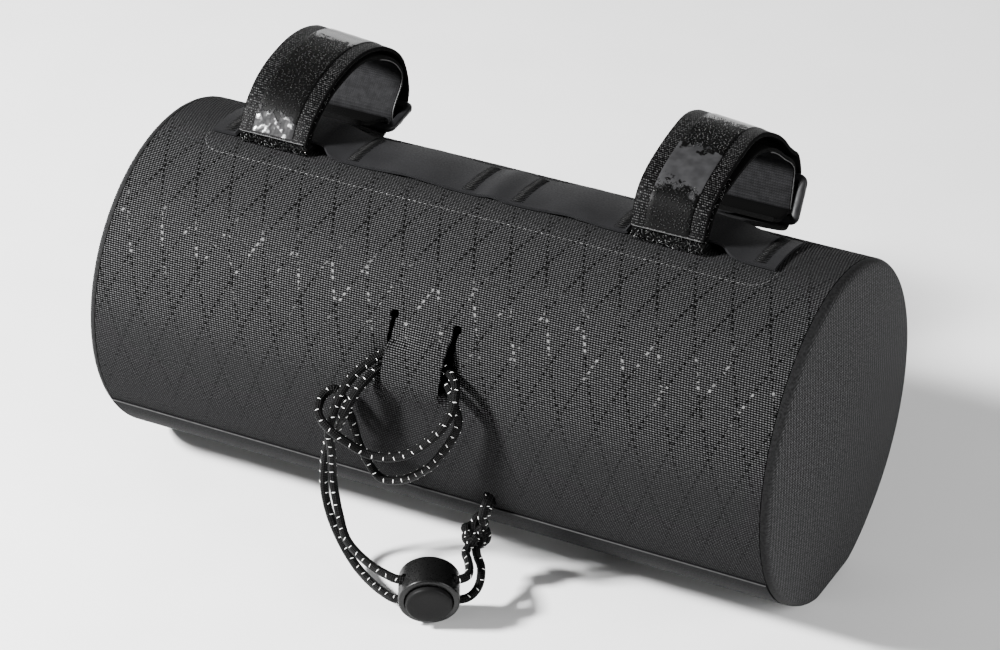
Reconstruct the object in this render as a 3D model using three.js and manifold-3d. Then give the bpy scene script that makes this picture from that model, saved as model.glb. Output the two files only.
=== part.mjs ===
// A cylindrical handlebar bag lying on a surface, with two cinch straps and a shock cord.
// Millimetres, +Z up. +X runs along the bag, -Y is its front, and z = 0 is the surface it rests on.
import * as THREE from 'three';
import { mergeVertices } from 'three/addons/utils/BufferGeometryUtils.js';
import Module from 'manifold-3d';

const wasm = await Module();
wasm.setup();

// Bag body
const BAG_RADIUS = 60;
const BAG_LEFT = -128.4;
const BAG_RIGHT = 130.4;
const AXIS_HEIGHT = BAG_RADIUS;
const CLOTH = 1.6;
const GAP = 0.3;
const CAP_DEPTH = 3;
const CAP_DOME = 2.1;
const PANEL_LEFT = BAG_LEFT + CAP_DEPTH;
const PANEL_RIGHT = BAG_RIGHT - CAP_DEPTH;
const REST_HALF_ANGLE = 12;
const REST_BLEND_ANGLE = 36;
const FRONT_SEAM = -30.5;
const BACK_SEAM = 210.5;
const SEAM_GAP_ANGLE = 0.15;
const SEAM_LAP = 0.5;
const LAP_START = 35;
const LAP_END = 58;
const ARC_STEP = 7.2;
const CUT_DEPTH = 20;

// Slits, bridge and cord hole on the front
const SLIT_X = 11.8;
const SLIT_WIDTH = 1.8;
const SLIT_TOP = 36;
const SLIT_BOTTOM = 13.7;
const SLIT_EYE_RADIUS = 1.7;
const BRIDGE_LIFT = 3.9;
const BRIDGE_FOOT = 4;
const BRIDGE_LOW = 9;
const BRIDGE_HIGH = 23.4;
const BRIDGE_LEFT_TOP = 27;
const BRIDGE_SPREAD = 7;
const DENT_DEPTH = 1.2;
const DENT_TOP = 28;
const BACKING_HALF_WIDTH = 24;
const BACKING_TOP = 44;
const BACKING_BOTTOM = 4;
const BACKING_SAG = 1.7;
const BACKING_FLAT_SHARE = 0.7;
const HOLE_X = 26.5;
const HOLE_ANGLE = -25.4;
const HOLE_WIDTH = 4;
const HOLE_HEIGHT = 7.4;

// Zip on the back
const ZIP_ANGLE = 166;
const ZIP_HALF_WIDTH = 5;
const ZIP_HALF_LENGTH = 108;
const ZIP_PROUD = 0.4;

// Strip that the straps pass under
const STRIP_FRONT = 83.5;
const STRIP_FRONT_AT_STRAP = 86.8;
const STRIP_BACK = 105.5;
const STRIP_CLOTH = 1.2;

// Straps, hook tapes and rings
const STRAP_WIDTH = 27;
const STRAP_CLOTH = 1.6;
const STRAP_HUG = BAG_RADIUS + GAP + STRAP_CLOTH / 2;
const STRAP_FRONT = 85;
const STRAP_FOLD = { y: -6.8, z: 121.9, radius: 1.25 };
const TWIST_START = 124;
const TWIST_END = 140;
const TAPE_WIDTH = 16;
const TAPE_CLOTH = 1;
const TAPE_BACK = 60;
const RING_BAR = 3;
const RING_THICKNESS = 2.2;
const RING_SPAN = 15.2;
const RING_SIDE_GAP = 0.5;
const RING_EDGE = 0.6;
const RING_CORNER = 3;
const RING_INNER_CORNER = 1;
const BAR_CLEARANCE = 0.7;

// Shock cord, knot and cord lock
const CORD_RADIUS = 1.5;
const CORD_SIDES = 8;
const CORD_STEP = 7;
const KNOT_CENTRE = new THREE.Vector3(22, -56.4, 19.5);
const KNOT_RADIUS = 5.3;
const KNOT_CORE_RADIUS = 4.5;
const LOCK_FACE = new THREE.Vector3(20.93, -87.63, 10.43);
const LOCK_TURN = 27.468;
const LOCK_TILT = -13;
const BARREL_RADIUS = 10.4;
const BARREL_LENGTH = 12;
const BARREL_FLOOR = 2;
const BARREL_EDGE = 0.7;
const BORE_RADIUS = 8.2;
const CHANNEL_OFFSET = 5;
const CHANNEL_DEPTH = 6;
const CHANNEL_RADIUS = 2;
const BUTTON_RADIUS = 7.9;
const BUTTON_PROUD = 2;
const BUTTON_INNER = 1.5;
const BUTTON_EDGE = 0.8;
const STEM_RADIUS = 2.4;
const STEM_END = 7;
const LOCK_SEGMENTS = 28;

const DEGREE = Math.PI / 180;

// How far the strip stands off the bag along its length: flat at its tacks, raised over the straps.
const STRIP_LIFT = [
  { x: -107, lift: 0 },
  { x: -98.5, lift: 0 },
  { x: -96.2, lift: 2.3 },
  { x: -82, lift: 3 },
  { x: -67.8, lift: 2.3 },
  { x: -54.5, lift: 0 },
  { x: -49.5, lift: 0 },
  { x: -30, lift: 1 },
  { x: -9.5, lift: 0 },
  { x: -4.5, lift: 0 },
  { x: 2, lift: 0.8 },
  { x: 9, lift: 0 },
  { x: 14, lift: 0 },
  { x: 31, lift: 1 },
  { x: 47.5, lift: 0 },
  { x: 52.5, lift: 0 },
  { x: 54.2, lift: 2.3 },
  { x: 68.4, lift: 3 },
  { x: 82.6, lift: 2.3 },
  { x: 98.5, lift: 0 },
  { x: 107, lift: 0 },
];

// Profile of a cap from its rim to its middle: shares of the section's radius, of the rim's depth
// and of the dome's height.
const CAP_PROFILE = [
  { share: 1, depth: 0, dome: 0 },
  { share: 0.995, depth: 0.45, dome: 0 },
  { share: 0.98, depth: 0.8, dome: 0 },
  { share: 0.95, depth: 1, dome: 0 },
  { share: 0.65, depth: 1, dome: 0.55 },
  { share: 0.33, depth: 1, dome: 0.88 },
];

// Side profiles of the straps. Each strap starts at its tab's end, turns round the ring's low bar,
// follows the bag to the fold at the front, goes up and over, turns back through the ring and lies
// over itself to its free end. The tab leans out at an angle from the bar.
const STRAPS = [
  {
    side: 'left',
    x: -82,
    twist: 1.4,
    tab: [
      { y: 30.4, z: 114.8 },
      { y: 36.2, z: 111.7 },
    ],
    lowBar: { y: 46.9, z: 105.2 },
    lean: 44,
    hugStart: 124,
    ringTilt: 8,
    inner: [
      { y: -6.7, z: 123.2 },
      { y: -5.7, z: 125.2 },
      { y: -1.9, z: 129.6 },
      { y: 3.7, z: 133.5 },
      { y: 9.9, z: 136.6 },
      { y: 17.5, z: 138.4 },
      { y: 27, z: 139.4 },
      { y: 37.4, z: 138.1 },
      { y: 47.2, z: 134 },
      { y: 54.2, z: 129.4 },
      { y: 59, z: 124.6 },
      { y: 61.6, z: 120.4 },
      { y: 61.2, z: 116.6 },
      { y: 55.4, z: 109.6 },
    ],
    turn: { y: 59.4, z: 106.6, radius: 5.2, from: 172, to: 360 },
    outer: [
      { y: 65.9, z: 110.8 },
      { y: 64.2, z: 120.4 },
      { y: 59.8, z: 128.2 },
      { y: 49.8, z: 136.4 },
      { y: 38, z: 140.8 },
      { y: 27, z: 142.1 },
      { y: 17, z: 141.2 },
      { y: 9, z: 139.3 },
      { y: 2.3, z: 136.2 },
      { y: -3.7, z: 131.5 },
      { y: -9.2, z: 124.3 },
    ],
  },
  {
    side: 'right',
    x: 68.4,
    twist: 1.2,
    tab: [
      { y: 51.3, z: 103.8 },
      { y: 56.5, z: 101 },
    ],
    lowBar: { y: 63.8, z: 97.5 },
    lean: 60.5,
    hugStart: 118,
    ringTilt: 61,
    inner: [
      { y: -6.7, z: 123.2 },
      { y: -4.1, z: 127.8 },
      { y: -0.2, z: 132.6 },
      { y: 6, z: 135.9 },
      { y: 14.6, z: 137.7 },
      { y: 25, z: 138.8 },
      { y: 34, z: 138.4 },
      { y: 41, z: 136.6 },
      { y: 47.4, z: 133.6 },
      { y: 53, z: 129.8 },
      { y: 58.4, z: 125.2 },
      { y: 66.6, z: 118.8 },
      { y: 68.9, z: 115 },
      { y: 68.1, z: 108.6 },
    ],
    turn: { y: 69.7, z: 102.8, radius: 2.4, from: 165, to: 350 },
    outer: [
      { y: 74.1, z: 110.4 },
      { y: 71.2, z: 119.2 },
      { y: 67.2, z: 122.6 },
      { y: 62.6, z: 126.6 },
      { y: 58.9, z: 130.9 },
      { y: 53.4, z: 135.8 },
      { y: 42.8, z: 142 },
      { y: 33, z: 144.7 },
      { y: 24, z: 144.4 },
      { y: 12.3, z: 142.4 },
      { y: 2.4, z: 139.2 },
      { y: -4.4, z: 134.4 },
      { y: -8.8, z: 125.2 },
    ],
  },
];

// Where the doubled cord runs from the lock's upper channel, round the bridge, and back to the
// lower channel.
const LOOP_ROUTE = [
  [4.4, -87.2, 16.5],
  [-4.6, -83.2, 15.8],
  [-17.2, -75.5, 16.8],
  [-23.1, -69.8, 21.2],
  [-27.1, -66.5, 30.7],
  [-25.7, -70.1, 48.1],
  [-25.3, -72.3, 55.6],
  [-24.2, -71.1, 62],
  [-21.3, -68.9, 71.6],
  [-17.6, -62.9, 77.8],
  [-10.4, -55.6, 82.3],
  [10.6, -55.9, 81.7],
  [19.1, -64.1, 79.8],
  [18.7, -69.9, 71.3],
  [7.7, -71.8, 57.8],
  [-1.4, -71.5, 52.2],
  [-9.9, -72, 51.3],
  [-16.4, -75, 55.7],
  [-22, -76.3, 59.7],
  [-27.7, -74.2, 63.3],
  [-29.3, -68.5, 66.8],
  [-26.3, -65.4, 68.9],
  [-20.4, -66.5, 62],
  [-16.8, -65.3, 48.1],
  [-11.8, -61.4, 35.5],
  [-4.4, -62.2, 36.9],
  [4.8, -64.8, 43.8],
  [12.5, -67, 52.1],
  [21, -66.4, 68.9],
  [19, -65.2, 75.4],
  [10.6, -57.2, 77.9],
  [-11, -57.1, 77.8],
  [-15.5, -66.7, 73.8],
  [-20.2, -70, 63.7],
  [-23.7, -67.9, 56.8],
  [-28.2, -66.8, 49.7],
  [-31.5, -65.4, 28.7],
  [-28, -65.6, 13.9],
  [-17, -71, 4.4],
  [1.8, -83.4, 5.5],
];

// Where each strand runs from the knot to the lock's right side.
const LINK_ROUTES = {
  a: [[21.6, -62.4, 16], [24.6, -66.5, 16], [27.8, -71.6, 16.4], [29.3, -75.8, 16.7]],
  b: [[24.4, -59.7, 14], [27, -61.8, 11.8], [29, -65.8, 9.4], [29.8, -70.5, 7.9], [28.9, -74.6, 7.2]],
};

// Where each cord end runs out of the hole and down the skin, one over the other.
const TAIL_ROUTES = {
  a: [
    { x: 26.7, angle: -23.7, stand: -CLOTH },
    { x: 26.7, angle: -24.1, stand: 2.2 },
    { x: 26.2, angle: -27.4, stand: 6.7 },
  ],
  b: [
    { x: 26.4, angle: -27, stand: -CLOTH },
    { x: 26.3, angle: -27.6, stand: 1.9 },
    { x: 25.2, angle: -30.8, stand: 2.5 },
  ],
};

// Where each cord end meets the knot, from the knot's centre.
const TAIL_ENDS = {
  a: { x: 3.3, y: 0.5, z: 4.8 },
  b: { x: 0.2, y: 0.9, z: 6.6 },
};

// The turns of cord that make up the knot.
const KNOT_TURNS = [
  { tiltX: 0, tiltY: 0, z: 2.1 },
  { tiltX: 20, tiltY: 12, z: -2 },
  { tiltX: 80, tiltY: 25, z: 0 },
  { tiltX: 75, tiltY: -50, z: 0 },
];

const material = (color, roughness) => new THREE.MeshStandardMaterial({ color, roughness });

const LAMINATE = material(0x2b2c2e, 0.75);
const COATED_CLOTH = material(0x27282a, 0.6);
const WEBBING = material(0x1b1b1c, 0.9);
const HOOK_TAPE = material(0x101011, 0.35);
const RING_PLASTIC = material(0x2a2a2b, 0.35);
const SHOCK_CORD = material(0x141415, 0.8);
const LOCK_PLASTIC = material(0x0f0f10, 0.4);

// A point on the bag's round section: the angle starts at the front and rises over the top.
function onSection(x, angle, radius) {
  const turn = angle * DEGREE;
  return new THREE.Vector3(x, -radius * Math.cos(turn), AXIS_HEIGHT + radius * Math.sin(turn));
}

function smooth(low, high, value) {
  const share = THREE.MathUtils.clamp((value - low) / (high - low), 0, 1);
  return share * share * (3 - 2 * share);
}

// The section is round, and flat where the bag rests.
function sectionRadius(angle) {
  const fromDown = Math.abs(THREE.MathUtils.euclideanModulo(angle - 90, 360) - 180);
  if (fromDown <= REST_HALF_ANGLE) return BAG_RADIUS / Math.cos(fromDown * DEGREE);
  const bulge = BAG_RADIUS / Math.cos(REST_HALF_ANGLE * DEGREE) - BAG_RADIUS;
  return BAG_RADIUS + bulge * (1 - smooth(REST_HALF_ANGLE, REST_BLEND_ANGLE, fromDown));
}

// Even steps from low to high, both included.
function steps(low, high, count) {
  return Array.from({ length: count + 1 }, (_, i) => low + ((high - low) * i) / count);
}

// Turns a closed mesh so that its faces point out.
function outward(positions, faces) {
  const corner = faces.map((i) => new THREE.Vector3().fromArray(positions, 3 * i));
  let volume = 0;
  for (let i = 0; i < corner.length; i += 3) {
    volume += corner[i].dot(corner[i + 1].clone().cross(corner[i + 2]));
  }
  const geometry = new THREE.BufferGeometry();
  geometry.setAttribute('position', new THREE.Float32BufferAttribute(positions, 3));
  geometry.setIndex(volume < 0 ? faces.slice().reverse() : faces);
  return geometry;
}

// A closed wall between an inner face (side 0) and an outer face (side 1) on one grid.
function wall(us, vs, point) {
  const positions = [];
  for (const side of [0, 1]) {
    for (const u of us) {
      for (const v of vs) positions.push(...point(u, v, side).toArray());
    }
  }
  const at = (side, i, j) => (side * us.length + i) * vs.length + j;
  const faces = [];
  const quad = (a, b, c, d) => faces.push(a, b, c, a, c, d);
  const lastU = us.length - 1;
  const lastV = vs.length - 1;
  for (let i = 0; i < lastU; i += 1) {
    for (let j = 0; j < lastV; j += 1) {
      quad(at(1, i, j), at(1, i + 1, j), at(1, i + 1, j + 1), at(1, i, j + 1));
      quad(at(0, i, j), at(0, i, j + 1), at(0, i + 1, j + 1), at(0, i + 1, j));
    }
    quad(at(0, i, 0), at(0, i + 1, 0), at(1, i + 1, 0), at(1, i, 0));
    quad(at(0, i + 1, lastV), at(0, i, lastV), at(1, i, lastV), at(1, i + 1, lastV));
  }
  for (let j = 0; j < lastV; j += 1) {
    quad(at(0, 0, j + 1), at(0, 0, j), at(1, 0, j), at(1, 0, j + 1));
    quad(at(0, lastU, j), at(0, lastU, j + 1), at(1, lastU, j + 1), at(1, lastU, j));
  }
  return outward(positions, faces);
}

function toSolid(geometry) {
  const bare = geometry.clone();
  bare.deleteAttribute('normal');
  bare.deleteAttribute('uv');
  const merged = mergeVertices(bare, 1e-4);
  return new wasm.Manifold(new wasm.Mesh({
    numProp: 3,
    vertProperties: new Float32Array(merged.attributes.position.array),
    triVerts: new Uint32Array(merged.index.array),
  }));
}

function toGeometry(solid) {
  const mesh = solid.getMesh();
  const geometry = new THREE.BufferGeometry();
  geometry.setAttribute('position', new THREE.BufferAttribute(new Float32Array(mesh.vertProperties), 3));
  geometry.setIndex(new THREE.BufferAttribute(new Uint32Array(mesh.triVerts), 1));
  return geometry;
}

// Turns and moves a shape drawn in X and Y so that its +Y runs up the bag's skin at an angle and
// its +Z points out of the bag.
function ontoSkin(geometry, x, angle, radius) {
  const turn = angle * DEGREE;
  const frame = new THREE.Matrix4().makeBasis(
    new THREE.Vector3(1, 0, 0),
    new THREE.Vector3(0, Math.sin(turn), Math.cos(turn)),
    new THREE.Vector3(0, -Math.cos(turn), Math.sin(turn)),
  );
  frame.setPosition(onSection(x, angle, radius));
  return geometry.applyMatrix4(frame);
}

// How far the cord that runs under the bridge between the slits moves the panel. The bridge is pushed
// out: its right edge stands off up to the slit's top, and its left edge only where the cord comes
// out. Beside the slits, the panel is pressed in under the cord.
function bridgeLift(x, angle) {
  const reach = Math.abs(x);
  const rise = BRIDGE_LIFT * smooth(BRIDGE_FOOT, SLIT_BOTTOM + 1, angle);
  if (reach < SLIT_X) {
    const left = 1 - smooth(BRIDGE_HIGH, BRIDGE_LEFT_TOP, angle);
    const right = 1 - smooth(BRIDGE_HIGH, SLIT_TOP, angle);
    return rise * THREE.MathUtils.lerp(left, right, (x + SLIT_X) / (2 * SLIT_X));
  }
  const low = rise * (1 - smooth(BRIDGE_LOW, SLIT_BOTTOM, angle));
  const dent = DENT_DEPTH * smooth(SLIT_BOTTOM, SLIT_BOTTOM + 2, angle)
    * (1 - smooth(BRIDGE_HIGH, DENT_TOP, angle));
  return (low - dent) * (1 - smooth(SLIT_X, SLIT_X + BRIDGE_SPREAD, reach));
}

const mainAngles = steps(
  FRONT_SEAM + SEAM_GAP_ANGLE,
  BACK_SEAM - SEAM_GAP_ANGLE,
  Math.round((BACK_SEAM - FRONT_SEAM) / ARC_STEP),
);
const baseHalf = steps(REST_HALF_ANGLE, FRONT_SEAM + 90 - SEAM_GAP_ANGLE, 7);
const baseAngles = [
  ...baseHalf.map((angle) => 270 - angle).reverse(),
  ...baseHalf.map((angle) => 270 + angle),
];

// A round-ended slot, drawn along Y, with a wider eye at its top.
function slitShape(length, width, eyeRadius) {
  const half = width / 2;
  const eyeTurn = Math.asin(half / eyeRadius);
  const shape = new THREE.Shape();
  shape.moveTo(-half, -length / 2);
  shape.lineTo(half, -length / 2);
  const eye = length / 2 - eyeRadius;
  shape.absarc(0, eye, eyeRadius, -Math.PI / 2 + eyeTurn, Math.PI * 1.5 - eyeTurn, false);
  shape.closePath();
  return shape;
}

function mainPanel() {
  const slitEdge = 0.4 * SLIT_WIDTH;
  const side = SLIT_X + BRIDGE_SPREAD;
  const half = [SLIT_X / 2, SLIT_X - slitEdge, SLIT_X + slitEdge, (SLIT_X + side) / 2, side];
  const columns = [PANEL_LEFT, ...half.map((x) => -x).reverse(), 0, ...half, PANEL_RIGHT];
  const fine = steps(BRIDGE_FOOT, SLIT_TOP + 1, 15);
  const coarse = mainAngles.filter((angle) => angle < 0 || angle > SLIT_TOP + 3);
  const rows = [...coarse, ...fine].sort((a, b) => a - b);
  const radius = (x, angle) => BAG_RADIUS + bridgeLift(x, angle);
  let solid = toSolid(wall(columns, rows, (x, angle, face) =>
    onSection(x, angle, radius(x, angle) - (face ? 0 : CLOTH))));
  const middle = (SLIT_TOP + SLIT_BOTTOM) / 2;
  const slitLength = (SLIT_TOP - SLIT_BOTTOM) * DEGREE * BAG_RADIUS;
  for (const x of [-SLIT_X, SLIT_X]) {
    const cut = new THREE.ExtrudeGeometry(slitShape(slitLength, SLIT_WIDTH, SLIT_EYE_RADIUS), {
      depth: CUT_DEPTH, bevelEnabled: false, curveSegments: 6,
    });
    cut.translate(0, 0, -CUT_DEPTH / 2);
    solid = solid.subtract(toSolid(ontoSkin(cut, x, middle, BAG_RADIUS)));
  }
  const hole = new THREE.Shape();
  const flat = (HOLE_HEIGHT - HOLE_WIDTH) / 2;
  hole.absarc(0, flat, HOLE_WIDTH / 2, 0, Math.PI, false);
  hole.absarc(0, -flat, HOLE_WIDTH / 2, Math.PI, Math.PI * 2, false);
  hole.closePath();
  const holeCut = new THREE.ExtrudeGeometry(hole, {
    depth: CUT_DEPTH, bevelEnabled: false, curveSegments: 6,
  });
  holeCut.translate(0, 0, -CUT_DEPTH / 2);
  solid = solid.subtract(toSolid(ontoSkin(holeCut, HOLE_X, HOLE_ANGLE, BAG_RADIUS)));
  const zipCut = new THREE.BoxGeometry(
    2 * (ZIP_HALF_LENGTH + GAP), 2 * (ZIP_HALF_WIDTH + GAP), CUT_DEPTH,
  );
  solid = solid.subtract(toSolid(ontoSkin(zipCut, 0, ZIP_ANGLE, BAG_RADIUS)));
  return toGeometry(solid);
}

function basePanel() {
  const lap = (angle) => SEAM_LAP * smooth(LAP_START, LAP_END, Math.abs(angle - 270));
  return wall([PANEL_LEFT, PANEL_RIGHT], baseAngles, (x, angle, side) =>
    onSection(x, angle, sectionRadius(angle) + lap(angle) - (side ? 0 : CLOTH)));
}

// An end panel: rings round the section from its rim in to the middle, on both faces.
function endCap(edge) {
  const sign = Math.sign(edge);
  const angles = [...mainAngles, ...baseAngles];
  const inset = 1 - CLOTH / BAG_RADIUS;
  const rim = Math.abs(edge) + GAP;
  const outer = CAP_PROFILE.map((row) => ({
    share: row.share,
    x: rim + CAP_DEPTH * row.depth + CAP_DOME * row.dome,
  }));
  const inner = outer.map((row) => ({ share: row.share * inset, x: Math.max(rim, row.x - CLOTH) }));
  const peak = rim + CAP_DEPTH + CAP_DOME;
  const positions = [];
  for (const row of [...outer, ...inner]) {
    for (const angle of angles) {
      positions.push(...onSection(sign * row.x, angle, sectionRadius(angle) * row.share).toArray());
    }
  }
  const count = angles.length;
  const at = (ring, i) => ring * count + (i % count);
  const poles = [2 * outer.length * count, 2 * outer.length * count + 1];
  positions.push(sign * peak, 0, AXIS_HEIGHT, sign * (peak - CLOTH), 0, AXIS_HEIGHT);
  const faces = [];
  const quad = (a, b, c, d) => faces.push(a, b, c, a, c, d);
  const last = outer.length - 1;
  for (let i = 0; i < count; i += 1) {
    for (let ring = 0; ring < last; ring += 1) {
      quad(at(ring, i), at(ring, i + 1), at(ring + 1, i + 1), at(ring + 1, i));
      const back = ring + outer.length;
      quad(at(back, i), at(back + 1, i), at(back + 1, i + 1), at(back, i + 1));
    }
    faces.push(at(last, i), at(last, i + 1), poles[0]);
    faces.push(at(last + outer.length, i + 1), at(last + outer.length, i), poles[1]);
    quad(at(outer.length, i), at(outer.length, i + 1), at(0, i + 1), at(0, i));
  }
  return outward(positions, faces);
}

// A patch of wall that follows the round of the bag.
function patch(xLow, xHigh, angles, inside, outside) {
  return wall([xLow, xHigh], angles, (x, angle, side) => onSection(x, angle, side ? outside : inside));
}

function zipClosure() {
  const reach = ZIP_HALF_WIDTH / BAG_RADIUS / DEGREE;
  const angles = steps(ZIP_ANGLE - reach, ZIP_ANGLE + reach, 2);
  return patch(-ZIP_HALF_LENGTH, ZIP_HALF_LENGTH, angles, BAG_RADIUS - CLOTH, BAG_RADIUS + ZIP_PROUD);
}

// The backing is joined to the panel round its edge and stands back from it behind the slits.
function slitBacking() {
  const flat = BACKING_FLAT_SHARE * BACKING_HALF_WIDTH;
  const columns = [-BACKING_HALF_WIDTH, -flat, flat, BACKING_HALF_WIDTH];
  const angles = steps(BACKING_BOTTOM, BACKING_TOP, 6);
  const edge = BAG_RADIUS - CLOTH - GAP;
  return wall(columns, angles, (x, angle, side) => {
    const inside = Math.abs(x) <= flat && angle > BACKING_BOTTOM && angle < BACKING_TOP;
    return onSection(x, angle, edge - (inside ? BACKING_SAG : 0) - (side ? 0 : CLOTH));
  });
}

function stripLift(x) {
  const next = Math.max(1, STRIP_LIFT.findIndex((row) => row.x >= x));
  const low = STRIP_LIFT[next - 1];
  const high = STRIP_LIFT[next];
  return low.lift + ((high.lift - low.lift) * (x - low.x)) / (high.x - low.x);
}

function strapPanel() {
  const columns = STRIP_LIFT.map((row) => row.x);
  const pullBack = (x) => (STRIP_FRONT_AT_STRAP - STRIP_FRONT) * smooth(0.8, 2.2, stripLift(x));
  return wall(columns, steps(0, 1, 4), (x, share, side) => {
    const angle = THREE.MathUtils.lerp(STRIP_FRONT + pullBack(x), STRIP_BACK, share);
    return onSection(x, angle, BAG_RADIUS + GAP + stripLift(x) + (side ? STRIP_CLOTH : 0));
  });
}

// Points round a bar, as [y, z], from one turn angle to another.
function roundBar(bar, radius, from, to, count) {
  return steps(from, to, count).map((turn) => [
    bar.y + radius * Math.cos(turn * DEGREE),
    bar.z + radius * Math.sin(turn * DEGREE),
  ]);
}

function lowBar(strap) {
  return new THREE.Vector3(strap.x, strap.lowBar.y, strap.lowBar.z);
}

function highBar(strap) {
  const tilt = strap.ringTilt * DEGREE;
  const span = new THREE.Vector3(0, RING_SPAN * Math.cos(tilt), RING_SPAN * Math.sin(tilt));
  return lowBar(strap).add(span);
}

const pairs = (rows) => rows.map((row) => [row.y, row.z]);

// A smooth line in the YZ plane through [y, z] points, with two steps from point to point.
function sideLine(points) {
  const curve = new THREE.CatmullRomCurve3(
    points.map(([y, z]) => new THREE.Vector3(0, y, z)), false, 'centripetal',
  );
  return curve.getPoints(2 * (points.length - 1));
}

// The strap's middle line, from its tab's end to its free end.
function strapLine(strap) {
  const barTurn = RING_BAR / 2 + BAR_CLEARANCE + STRAP_CLOTH / 2;
  const hug = steps(strap.hugStart, STRAP_FRONT, 6).map((angle) => {
    const point = onSection(0, angle, STRAP_HUG);
    return [point.y, point.z];
  });
  const { turn } = strap;
  return [
    ...pairs(strap.tab),
    ...roundBar(strap.lowBar, barTurn, strap.lean, strap.lean - 180, 6),
    ...hug,
    ...roundBar(STRAP_FOLD, STRAP_FOLD.radius, 250, 130, 3),
    ...pairs(strap.inner),
    ...roundBar(turn, turn.radius, turn.from, turn.to, 6),
    ...pairs(strap.outer),
  ];
}

// A flat strip of even thickness on a strap: it follows a line in the YZ plane, and over the top
// its left edge is twisted up and its right edge down.
function strip(strap, line, width, thickness, offset = 0) {
  const positions = [];
  const faces = [];
  line.forEach((point, i) => {
    const before = line[Math.max(0, i - 1)];
    const after = line[Math.min(line.length - 1, i + 1)];
    const along = after.clone().sub(before).normalize();
    const out = new THREE.Vector3(0, -along.z, along.y);
    for (const side of [-1, 1]) {
      const place = point.clone().addScaledVector(out, offset + (side * thickness) / 2);
      const rise = strap.twist * (width / STRAP_WIDTH) * smooth(TWIST_START, TWIST_END, point.z);
      positions.push(strap.x - width / 2, place.y, place.z + rise);
      positions.push(strap.x + width / 2, place.y, place.z - rise);
    }
  });
  const quad = (a, b, c, d) => faces.push(a, b, c, a, c, d);
  const ring = [0, 1, 3, 2];
  for (let i = 0; i + 1 < line.length; i += 1) {
    ring.forEach((corner, k) => {
      const next = ring[(k + 1) % ring.length];
      quad(4 * i + corner, 4 * i + next, 4 * i + 4 + next, 4 * i + 4 + corner);
    });
  }
  const end = 4 * (line.length - 1);
  quad(0, 2, 3, 1);
  quad(end, end + 1, end + 3, end + 2);
  return outward(positions, faces);
}

function strapBand(strap) {
  return strip(strap, sideLine(strapLine(strap)), STRAP_WIDTH, STRAP_CLOTH);
}

// The tape lies on the outer layer, from the free end over the top.
function hookTape(strap) {
  const line = sideLine(strapLine(strap));
  const start = line.findLastIndex((point) => point.y > TAPE_BACK);
  const lift = STRAP_CLOTH / 2 + GAP + TAPE_CLOTH / 2;
  return strip(strap, line.slice(start), TAPE_WIDTH, TAPE_CLOTH, -lift);
}

function roundedRectangle(width, height, radius, Kind) {
  const w = width / 2 - radius;
  const h = height / 2 - radius;
  const outline = new Kind();
  outline.absarc(w, h, radius, 0, Math.PI / 2, false);
  outline.absarc(-w, h, radius, Math.PI / 2, Math.PI, false);
  outline.absarc(-w, -h, radius, Math.PI, Math.PI * 1.5, false);
  outline.absarc(w, -h, radius, Math.PI * 1.5, Math.PI * 2, false);
  outline.closePath();
  return outline;
}

function ring(strap) {
  const innerWidth = STRAP_WIDTH + 2 * RING_SIDE_GAP;
  const innerHeight = RING_SPAN - RING_BAR;
  const outerWidth = innerWidth + 2 * RING_BAR;
  const shape = roundedRectangle(outerWidth, innerHeight + 2 * RING_BAR, RING_CORNER, THREE.Shape);
  shape.holes.push(roundedRectangle(innerWidth, innerHeight, RING_INNER_CORNER, THREE.Path));
  const depth = RING_THICKNESS - 2 * RING_EDGE;
  const geometry = new THREE.ExtrudeGeometry(shape, {
    depth,
    bevelEnabled: true,
    bevelThickness: RING_EDGE,
    bevelSize: RING_EDGE,
    bevelOffset: -RING_EDGE,
    bevelSegments: 1,
    curveSegments: 3,
  });
  geometry.translate(0, 0, -depth / 2);
  const middle = lowBar(strap).lerp(highBar(strap), 0.5);
  return geometry.rotateX(strap.ringTilt * DEGREE).translate(...middle.toArray());
}

// A round tube through a list of points.
function cordTube(points) {
  const route = new THREE.CatmullRomCurve3(points, false, 'centripetal');
  const section = new THREE.Shape(steps(0, 360, CORD_SIDES).slice(0, CORD_SIDES).map((turn) =>
    new THREE.Vector2(CORD_RADIUS * Math.cos(turn * DEGREE), CORD_RADIUS * Math.sin(turn * DEGREE))));
  return new THREE.ExtrudeGeometry(section, {
    steps: Math.max(3, Math.round(route.getLength() / CORD_STEP)),
    extrudePath: route,
  });
}

// The lock's own frame: +X along its channels, +Y up its face and +Z out of its button.
const lockFrame = (() => {
  const turn = LOCK_TURN * DEGREE;
  const tilt = LOCK_TILT * DEGREE;
  const across = new THREE.Vector3(Math.cos(turn), Math.sin(turn), 0);
  const out = new THREE.Vector3(
    Math.sin(turn) * Math.cos(tilt), -Math.cos(turn) * Math.cos(tilt), Math.sin(tilt),
  );
  const frame = new THREE.Matrix4().makeBasis(across, out.clone().cross(across), out);
  return frame.setPosition(LOCK_FACE);
})();

// Where a strand's end stands just outside the lock: side -1 is left, level 1 is the upper channel.
function lockMouth(side, level, clear) {
  const half = Math.sqrt(BARREL_RADIUS ** 2 - (CHANNEL_OFFSET - CORD_RADIUS) ** 2);
  return new THREE.Vector3(side * (half + clear), level * CHANNEL_OFFSET, -CHANNEL_DEPTH)
    .applyMatrix4(lockFrame);
}

const vectors = (rows) => rows.map((row) => new THREE.Vector3(...row));

function cordLoop() {
  return cordTube([lockMouth(-1, 1, GAP), ...vectors(LOOP_ROUTE), lockMouth(-1, -1, GAP)]);
}

function cordLink(name, level) {
  return cordTube([...vectors(LINK_ROUTES[name]), lockMouth(1, level, GAP)]);
}

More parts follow.
